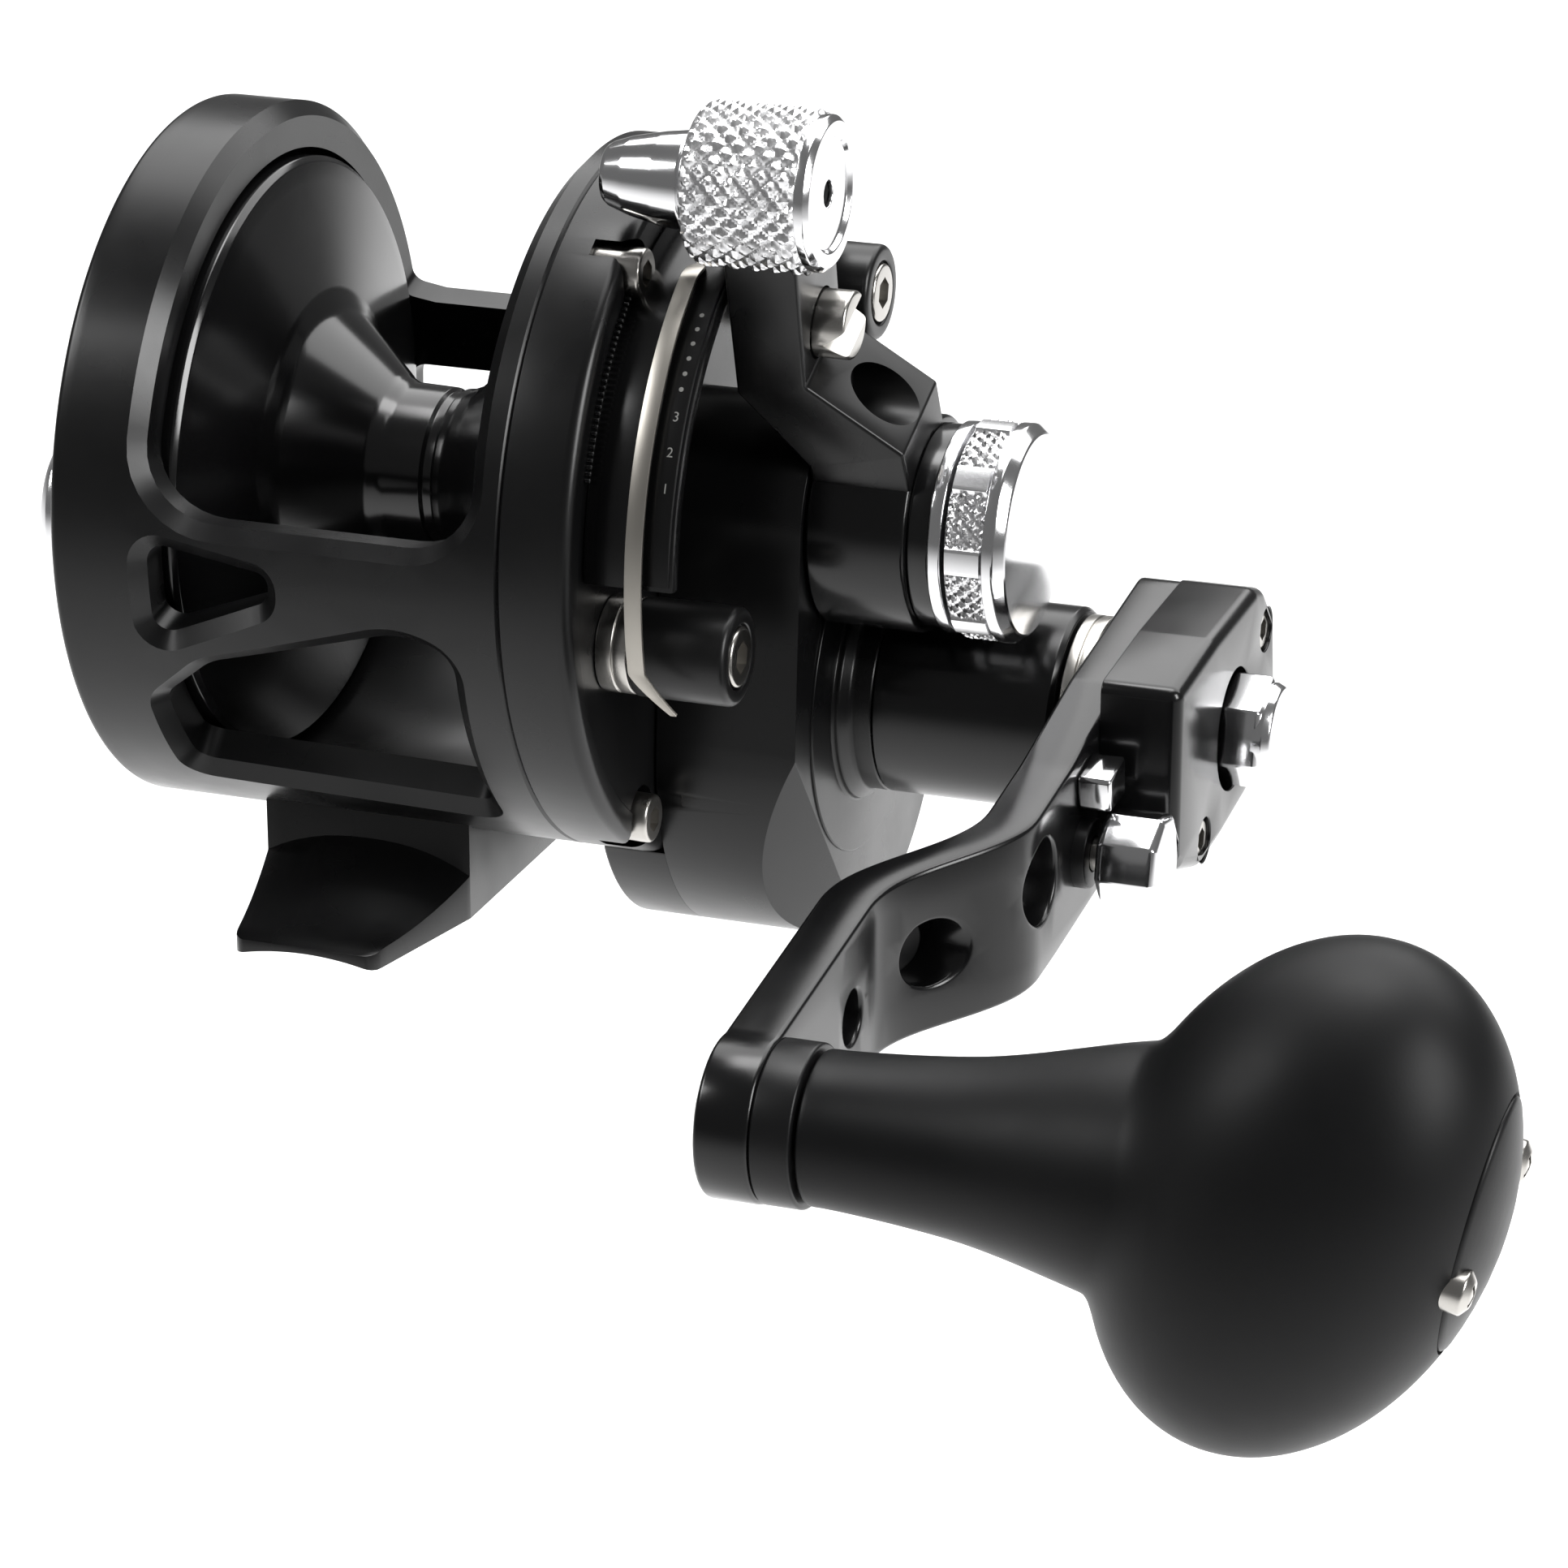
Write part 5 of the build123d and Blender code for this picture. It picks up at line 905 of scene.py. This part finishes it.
def knurled(name, x0, x1, r, depth, count, mat, body, slot, y=0.0, z=0.0, pads=0, pad_w=0.0):
    """A drum whose surface is cut into diamond pyramids, with smooth pads where wanted."""
    pitch = TAU * r / count
    seg = count * 8
    nx = max(8, int((x1 - x0) / pitch * 8))
    profile = [(x0, 0), (x0, r - depth - 0.25), (x0 + 0.12, r - depth - 0.02)]
    profile += [(x0 + 0.3 + (x1 - x0 - 0.6) * k / nx, r) for k in range(nx + 1)]
    profile += [(x1 - 0.12, r - depth - 0.02), (x1, r - depth - 0.25), (x1, 0)]

    def height(x, rr, a):
        if rr < r - 1e-6:
            return rr
        if pads:
            w = abs(((a * pads / TAU + 0.5) % 1.0) - 0.5) * TAU / pads * r
            if w < pad_w:
                edge = min(1.0, (pad_w - w) / 0.35)
                return r - depth * (1 - edge) + 0.12 * edge
        fade = min(1.0, (x - x0) / 0.6, (x1 - x) / 0.6)
        u, w = count * a / TAU + (x - x0) / pitch, count * a / TAU - (x - x0) / pitch
        h = min(tri(u), tri(w))
        return r - depth + depth * min(1.0, 1.45 * h) * max(0.0, fade)
    return lathe(name, profile, mat, body, slot, y, z, seg, closed=False, angle=30, bumpy=height)


knob = knurled("lever_knob_drum", 56.7, 67.6, 7.3, 0.5, 24, KNURL, "lever", "chrome", ky, kz)
swap(knob, "lever_knob")
lathe("lever_knob_cap", rounded([(BARREL_X, 0), (BARREL_X, 6.9), (68.2, 6.9), (68.7, 6.4), (68.7, 5.2),
    (68.25, 4.9), (68.25, 1.2), (67.0, 1.2), (67.0, 0)], [0, 0.1, 0.3, 0.2, 0.2, 0.1, 0.1, 0, 0], 4),
    CHROME, "lever", "chrome", ky, kz, 96, closed=False)
# near-black hexagon sunk in the cap's recess: painted shade of the screw's socket, standing in for the
# screw
knob_socket_shade = lathe("lever_knob_socket_painted_shade", rounded([(66.8, 0), (66.8, 1.1), (67.9, 1.1), (67.9, 0)], [0, 0, 0.1, 0],
    3), DARK, "lever", "screw_steel", ky, kz, 6, closed=False)
swap(knob_socket_shade, "lever_knob_screw")
nose = lathe("lever_knob_tip", rounded([(47.8, 0), (47.8, 2.55), (48.3, 2.9), (50.0, 3.5), (53.0, 4.15),
    (55.6, 4.5), (56.2, 4.2), (56.2, 3.6), (56.8, 3.6), (56.8, 0)], [0, 0.3, 0.4, 3, 3, 0.3, 0.1, 0, 0, 0],
    5), CHROME, "lever", "chrome", ky, kz, 96, closed=False)
swap(nose, "lever_knob_nose")

strike = lathe("strike_plunger", rounded([(60.6, 0), (60.6, 1.6), (65.3, 1.6), (65.3, 3.1), (68.6, 3.1),
    (68.6, 0)], [0, 0, 0, 0.1, 0.35, 0], 4), STEEL, "strike", "chrome", sy, sz, 64, closed=False)
groove = []
for off in (-4.0, 4.0):
    for x, t in [(66.5, 0), (69.5, -2.0), (69.5, 2.0)]:
        groove.append((x, sy + UP.y * t + ACROSS.y * off, sz + UP.z * t + ACROSS.z * off))
cut(strike, finish_piece("tool", groove, prism_faces(3), DARK, None), CREASE)
swap(strike, "strike_button")

# --- preset knob
preset = knurled("preset_band", 76.9, 80.7, 10.0, 0.42, 46, KNURL, "preset", "chrome", pads=8, pad_w=1.5)
swap(preset, "preset_knob")
cap = lathe("preset_dome", rounded([(80.6, 0), (80.6, 10.05), (81.6, 10.05), (82.5, 9.3), (82.6, 9.1),
    (82.6, 0)], [0, 0.1, 0.5, 0.3, 0.1, 0], 5), CHROME, "preset", "chrome", seg=128, closed=False)
swap(cap, "preset_cap")

# --- crank
spacer = lathe("crank_washer", rounded([(85.0, 3.0), (85.0, 9.0), (86.0, 9.0), (86.1, 8.8), (86.25, 8.8),
    (86.35, 9.0), (ARM_LOW, 9.0), (ARM_LOW, 3.0)], [0, 0.15, 0.03, 0.02, 0.02, 0.03, 0.15, 0], 3,
    closed=True), STEEL, "crank", "screw_steel", HY, HZ, 128)
swap(spacer, "handle_spacer")


def smooth_step(t):
    t = max(0.0, min(1.0, t))
    return t * t * t * (t * (6 * t - 15) + 10)


def arm_drop(y):
    t = max(0.0, min(1.0, (-y - 27.5) / 19.0))
    return 9.1 * (0.45 * smooth_step(t) + 0.55 * t * t * (3 - 2 * t))


outline = [(18.0, -9.0), (-4.3, -11.8), (-18.9, -14.7), (-47.0, -18.3), (-69.35, -21.17)]
end_arc = []
for k in range(1, 24):
    a = math.radians(82.0 + (262.0 - 82.0) * k / 24)
    end_arc.append((PIVOT[0] + 7.0 * math.cos(a), PIVOT[1] + 7.0 * math.sin(a)))
outline = outline + end_arc + [(-71.2, -35.04), (-22.7, -31.0), (-9.3, -29.5), (4.7, -29.3), (15.1, -28.0),
    (22.0, -22.0), (22.4, -13.0)]
radii_o = [3, 12, 30, 40, 0] + [0] * len(end_arc) + [0, 30, 10, 8, 5, 5, 4]
outline = rounded(outline, radii_o, 6, closed=True)
dense = []
for p, q in zip(outline, outline[1:] + outline[:1]):
    n = max(1, int(math.dist(p, q) / 0.8))
    dense += [(p[0] + (q[0] - p[0]) * k / n, p[1] + (q[1] - p[1]) * k / n) for k in range(n)]
holes = [circle(-26.8, -22.4, 3.9, 64), circle(-38.9, -25.2, 3.0, 64), circle(-51.2, -26.7, 2.4, 48),
    circle(PIVOT[0], PIVOT[1], 2.5, 32)]
g = [(y, z) for y in np.arange(-76, 20, 1.0) for z in np.arange(-35, -8, 3.0)]
crank = slab("crank_arm", dense, holes, lambda u, v, d: (ARM_TOP - arm_drop(u) - d, u, v), lambda u, v,
    d: (ARM_LOW - arm_drop(u) + d, u, v), BLACK_SATIN, "crank", 0.45, 3, g, 34,
    hole_edge=0.4)
swap(crank, "handle_arm")
# the bend's hole ends in a thin floor
floor_v = [(87.4 - arm_drop(-38.9), -38.9, -25.2)] + [(87.4 - arm_drop(y), y, z)
    for y, z in circle(-38.9, -25.2, 3.45, 64)]
finish_piece("bend_hole_floor", floor_v, [(0, 1 + k, 1 + (k + 1) % 64) for k in range(64)], TRIM, "crank")
block_o = rounded([(-10.5, -9.5), (1.4, -8.5), (15.0, -8.1), (17.9, -9.0), (21.7, -12.9), (22.6, -20.5),
    (15.1, -27.6), (4.7, -29.0), (-2.0, -29.5), (-8.8, -27.3), (-10.8, -26.0)],
    [1.2, 6, 3, 2.5, 2.5, 3.0, 3.0, 6, 3, 2, 1.2], 6, closed=True)
hub_screws = [(18.3, -13.2), (-1.4, -26.9)]
block = plate("crank_block", block_o, [circle(HY, HZ, 5.75, 64)] + [circle(y, z, 2.1, 40)
    for y, z in hub_screws], ARM_TOP, BLOCK_END, BLACK_SATIN, "crank", 1.25, 5, hole_edge=0.15,
    low_edge=0.12)
swap(block, "hub_block")
# thin near-black disc partway down the block's bore: painted shade in the recess, not a real part
lathe("block_recess_painted_shade", [(96.8, 0), (96.8, 5.7), (97.0, 5.7), (97.0, 0)], DARK, "crank", "black_anodised",
    HY, HZ, 48, closed=False)
for i, (y, z) in enumerate(hub_screws):
    s = socket_head(f"block_screw_{i}", y, z, 1.85, 96.6, 99.2, STEEL, "crank", "screw_steel", 1.1, 1.4,
        0.25)
    if i == 0:
        swap(s, "hub_screws")
hexo = rounded(hexagon(HY, HZ, 5.35, 0.35), 0.5, 3, closed=True)
shift = plate("shift_hex", hexo, [], 99.2, 103.0, CHROME, "shift", 0.6, 4, low_edge=0.2)
lathe("shift_foot", rounded([(99.2, 0), (99.2, 4.6), (99.6, 4.6), (99.6, 0)], [0, 0.1, 0.3, 0], 3), CHROME,
    "shift", "chrome", HY, HZ, 72, closed=False)
lathe("shift_face", rounded([(102.3, 0), (102.3, 4.75), (103.2, 4.7), (104.0, 4.3), (104.0, 0)],
    [0, 0, 0.4, 0.4, 0], 5), CHROME, "shift", "chrome", HY, HZ, 72, closed=False)
swap(shift, "shift_button")

ry, rz = -15.5, -23.8
neck2 = lathe("release_post", rounded([(92.0, 1.7), (92.0, 3.2), (93.3, 3.2), (93.3, 1.7)], [0, 0, 0.2, 0],
    3, closed=True), TRIM, "crank", "black_trim", ry, rz, 48)
swap(neck2, "release_neck")
rel = plate("release_cap", rounded([(ry + 4.5 * math.cos(0.2 + TAU * k / 8),
    rz + 4.5 * math.sin(0.2 + TAU * k / 8)) for k in range(8)], 0.5, 3, closed=True), [], 94.4, 100.0,
    CHROME, "release", 0.8, 4)
lathe("release_stem", [(88.6, 0), (88.6, 1.55), (94.8, 1.55), (94.8, 0)], STEEL, "release", "chrome", ry,
    rz, 32, closed=False)
swap(rel, "release_button")
lat = plate("release_catch", rounded([(-12.6, -15.2), (-17.4, -16.0), (-17.0, -19.2), (-12.4, -19.0)], 0.5,
    3, closed=True), [], ARM_TOP, 95.2, CHROME, "crank", 0.35, 3)
swap(lat, "release_latch")

# --- power knob
EX, EA, EL, EB, TILT_X, TURN = 127.3, 16.5, 22.0, 15.0, 4.29, math.radians(85.7)
LONG = Vector((math.cos(TURN), math.sin(TURN)))
SHORT = Vector((-math.sin(TURN), math.cos(TURN)))


def egg_radius(x, a):
    """Distance from the spindle axis to the egg's far side at x, in direction a, or 0."""
    d = Vector((math.cos(a), math.sin(a)))
    q1, w1 = d.dot(LONG) / EL, d.dot(SHORT) / EB
    c = (x - EX) / EA
    k = -TILT_X * q1 / EA
    qa = k * k + q1 * q1 + w1 * w1
    qb = 2 * c * k
    qc = c * c - 1
    disc = qb * qb - 4 * qa * qc
    if disc <= 0:
        return 0.0
    return max(0.0, (-qb + math.sqrt(disc)) / (2 * qa))


NECK = [(86.8, 6.45), (90, 6.6), (95, 7.0), (100, 7.6), (104, 8.4), (108, 9.4), (112, 10.4), (118, 11.6)]


def neck_radius(x):
    xs, rs = zip(*NECK)
    if x >= xs[-1]:
        return rs[-1]
    i = max(0, min(len(xs) - 2, int(np.searchsorted(xs, x)) - 1))
    t = (x - xs[i]) / (xs[i + 1] - xs[i])
    m = []
    for j in (i, i + 1):
        hi, lo = min(j + 1, len(xs) - 1), max(j - 1, 0)
        m.append((rs[hi] - rs[lo]) / (xs[hi] - xs[lo]))
    h = xs[i + 1] - xs[i]
    return ((2 * t ** 3 - 3 * t ** 2 + 1) * rs[i] + (t ** 3 - 2 * t ** 2 + t) * h * m[0]
        + (-2 * t ** 3 + 3 * t ** 2) * rs[i + 1] + (t ** 3 - t ** 2) * h * m[1])


def smax(a, b, k):
    h = max(0.0, k - abs(a - b)) / k
    return max(a, b) + h * h * k * 0.25


SEAT = 0.865
gseg = 144
v, f, rings4 = [], [], []
xs = list(np.arange(87.0, 108.5, 1.2)) + list(np.arange(108.5, 118, 0.35)) + list(np.arange(118, 134, 0.8))
py, pz = PIVOT
first = rounded([(86.8, 3.4), (86.8, 6.45), (87.4, 6.5)], [0, 0.35, 0], 4)
for x, r in first:
    rings4.append(list(range(len(v), len(v) + gseg)))
    v += [(x, py + r * math.cos(TAU * k / gseg), pz + r * math.sin(TAU * k / gseg)) for k in range(gseg)]
for x in xs[1:]:
    ring = []
    for k in range(gseg):
        a = TAU * k / gseg
        r = smax(neck_radius(x), egg_radius(x, a), 1.8 if x > 104 else 0.01)
        ring.append(len(v))
        v.append((x, py + r * math.cos(a), pz + r * math.sin(a)))
    rings4.append(ring)
# the egg's outer half in its own rings, out to the seat of the end cap
last_x = xs[-1]
for j in range(1, 41):
    t = j / 40
    ring = []
    for k in range(gseg):
        a = TAU * k / gseg
        d = Vector((math.cos(a), math.sin(a)))
        r0 = egg_radius(last_x, a)
        q0, w0 = r0 * d.dot(LONG) / EL, r0 * d.dot(SHORT) / EB
        p0 = (last_x - EX - TILT_X * q0) / EA
        ang0 = math.acos(max(-1, min(1, p0)))
        ang1 = math.acos(SEAT)
        ang = ang0 + (ang1 - ang0) * t
        m = math.atan2(w0, q0)
        q, w, p = math.sin(ang) * math.cos(m), math.sin(ang) * math.sin(m), math.cos(ang)
        yz = LONG * (q * EL) + SHORT * (w * EB)
        ring.append(len(v))
        v.append((EX + EA * p + TILT_X * q, py + yz.x, pz + yz.y))
    rings4.append(ring)


def egg_ring(ang, lift, v, src):
    ring = []
    for k in src:
        q, w, p = math.sin(ang) * math.cos(k), math.sin(ang) * math.sin(k), math.cos(ang)
        yz = LONG * (q * EL) + SHORT * (w * EB)
        ring.append(len(v))
        v.append((EX + EA * p + TILT_X * q + lift, py + yz.x, pz + yz.y))
    return ring


ms = []
for k in range(gseg):
    a = TAU * k / gseg
    d = Vector((math.cos(a), math.sin(a)))
    r0 = egg_radius(last_x, a)
    ms.append(math.atan2(r0 * d.dot(SHORT) / EB, r0 * d.dot(LONG) / EL))
seat_ang = math.acos(SEAT)
rings4.append(egg_ring(seat_ang - 0.004, -0.25, v, ms))
rings4.append(egg_ring(seat_ang - 0.03, -1.2, v, ms))
for p, q in zip(rings4, rings4[1:]):
    f += join(p, q)
f.append(tuple(rings4[-1]))
f.append(tuple(reversed(rings4[0])))
grip = finish_piece("grip_body", v, f, RUBBER, "grip", 50)
swap(grip, "knob_grip")
v, f, rr = [], [], []
rr.append(egg_ring(seat_ang - 0.03, -1.4, v, ms))
for da, lift in ((0.016, -0.12), (0.020, 0.0), (0.028, 0.07), (0.045, 0.1)):
    rr.append(egg_ring(seat_ang - da, lift, v, ms))
for s in (0.86, 0.7, 0.5, 0.3, 0.12):
    rr.append(egg_ring((seat_ang - 0.045) * s, 0.1, v, ms))
for p, q in zip(rr, rr[1:]):
    f += join(p, q)
f.append(tuple(rr[-1]))
f.append(tuple(reversed(rr[0])))
end_cap = finish_piece("grip_end_plate", v, f, TRIM, "grip", 50)
swap(end_cap, "knob_end_cap")
collar3 = lathe("grip_collar", rounded([(83.0, 2.5), (83.0, 6.7), (83.2, 6.9), (86.5, 6.9), (86.5, 2.5)],
    [0, 0.1, 0.1, 0.3, 0], 4, closed=True), TRIM, "crank", "black_trim", py, pz, 96)
swap(collar3, "knob_collar")
spindle = lathe("grip_spindle", rounded([(77.2, 0), (77.2, 4.2), (78.2, 4.2), (78.2, 2.5), (137.5, 2.5),
    (137.5, 0)], [0, 0.5, 0, 0, 0.2, 0], 4), STEEL, "crank", "screw_steel", py, pz, 64, closed=False)
swap(spindle, "knob_spindle")
TILT_N = Vector((1.0, -TILT_X / EL * LONG.x, -TILT_X / EL * LONG.y)).normalized()
for i, sgn in enumerate((1, -1)):
    yy, zz = 6.1 * sgn, 3.0 * sgn
    q, w = Vector((yy, zz)).dot(LONG) / EL, Vector((yy, zz)).dot(SHORT) / EB
    p = math.sqrt(max(0.0, 1 - q * q - w * w))
    base_x = EX + EA * p + TILT_X * q
    head = lathe(f"cap_screw_{i}", rounded([(-1.2, 0), (-1.2, 1.9), (0.55, 1.9), (1.15, 1.1), (1.25, 0)],
        [0, 0, 0.3, 0.6, 0], 4), STEEL, None, "", seg=48, closed=False)
    for vv in head.data.vertices:
        loc = (vv.co - world((0, 0, 0))) / MM
        rot = Vector((1, 0, 0)).rotation_difference(TILT_N)
        loc = rot @ loc
        vv.co = world((base_x + loc.x, py + yy + loc.y, pz + zz + loc.z))
    # cross recess
    for turn in (0.5, 0.5 + math.pi / 2):
        recess = []
        for dx in (0.35, 2.0):
            for du, dv in ((-1.15, -0.2), (1.15, -0.2), (1.15, 0.2), (-1.15, 0.2)):
                loc = Vector((dx, du * math.cos(turn) - dv * math.sin(turn),
                    du * math.sin(turn) + dv * math.cos(turn)))
                loc = Vector((1, 0, 0)).rotation_difference(TILT_N) @ loc
                recess.append((base_x + loc.x, py + yy + loc.y, pz + zz + loc.z))
        cut(head, finish_piece("tool", recess, prism_faces(4), DARK, None), CREASE)
    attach(head, "grip")
    if i == 0:
        swap(head, "end_cap_screws")

# --- carried-over inner pieces
INNER = {
    GEAR: ["high_pinion", "low_pinion", "high_main_gear", "low_main_gear", "drag_disc", "ratchet_wheel",
        "click_gear", "ratchet_dog", "click_pawl"],
    STEEL: ["spool_shaft", "handle_shaft", "shift_rod", "drag_cam", "dog_pin", "left_bearing",
        "right_bearing", "pinion_bearing", "inner_shaft_bearing",
            "outer_shaft_bearing", "knob_bearings", "belleville_springs", "spindle_nut"],
    CARBON: ["drag_washer"],
}
for mat, names in INNER.items():
    for n in names:
        ob = frame["nodes"][n]
        ob.data.materials.clear()
        ob.data.materials.append(mat)
        shade(ob, 30)

# --- stage, light, camera
me = bpy.data.meshes.new("floor")
FLOOR_Z = -0.35
REACH = 8.0
me.from_pydata([(-REACH, -REACH, FLOOR_Z), (REACH, -REACH, FLOOR_Z), (REACH, REACH, FLOOR_Z),
    (-REACH, REACH, FLOOR_Z)], [], [(0, 1, 2, 3)])
floor = bpy.data.objects.new("floor", me)
scene.collection.objects.link(floor)
fm, _, fb = new_material("floor_pale")
fb.inputs["Roughness"].default_value = 0.9
fb.inputs["Specular IOR Level"].default_value = 0.0
fb.inputs["Base Color"].default_value = (0.95, 0.95, 0.95, 1)
me.materials.append(fm)

w = bpy.data.worlds.new("studio")
scene.world = w
w.use_nodes = True
w.node_tree.nodes["Background"].inputs["Color"].default_value = (1, 1, 1, 1)
w.node_tree.nodes["Background"].inputs["Strength"].default_value = 0.16
scene.view_settings.view_transform = "Standard"


def softbox(name, pos, target, size, power, size_y=None):
    l = bpy.data.lights.new(name, "AREA")
    l.shape = "RECTANGLE"
    l.size = size
    l.size_y = size_y or size
    l.energy = power
    ob = bpy.data.objects.new(name, l)
    scene.collection.objects.link(ob)
    ob.location = pos
    ob.rotation_euler = (Vector(target) - Vector(pos)).to_track_quat("-Z", "Y").to_euler()
    return ob


aim = (0.03, -0.01, 0.03)
softbox("floor_wash", (0.1, 1.6, 1.6), (0.0, 1.5, FLOOR_Z), 3.0, 98.0, 3.0)
softbox("key", (-0.62, -0.42, 0.62), aim, 0.42, 4.0, 0.26)
softbox("top", (0.02, 0.12, 0.9), aim, 0.6, 4.0, 0.3)
softbox("right", (0.85, -0.25, 0.42), aim, 0.3, 7.0, 0.5)

# camera
FAR, HEAD, RISE, ROLL = 554.9394, math.radians(19.85109), math.radians(21.00186), -0.00165
LOOK = Vector((math.sin(HEAD) * math.cos(RISE), -math.cos(HEAD) * math.cos(RISE), math.sin(RISE)))
side_v = Vector((math.cos(HEAD), math.sin(HEAD), 0))
up_v = LOOK.cross(side_v)
cr, sr = math.cos(ROLL), math.sin(ROLL)
right_v = cr * side_v + sr * up_v
up_v = -sr * side_v + cr * up_v
eye = LOOK * FAR - right_v * -54.93944 - up_v * 32.47494
cam = bpy.data.cameras.new("camera")
cam.lens = 134.234
cam.sensor_width = 36.0
cam.clip_start = 0.01
cam.clip_end = 50
cam_ob = bpy.data.objects.new("camera", cam)
scene.collection.objects.link(cam_ob)
m = Matrix((right_v, up_v, LOOK)).transposed().to_4x4()
m.translation = world(eye)
cam_ob.matrix_world = m
scene.camera = cam_ob
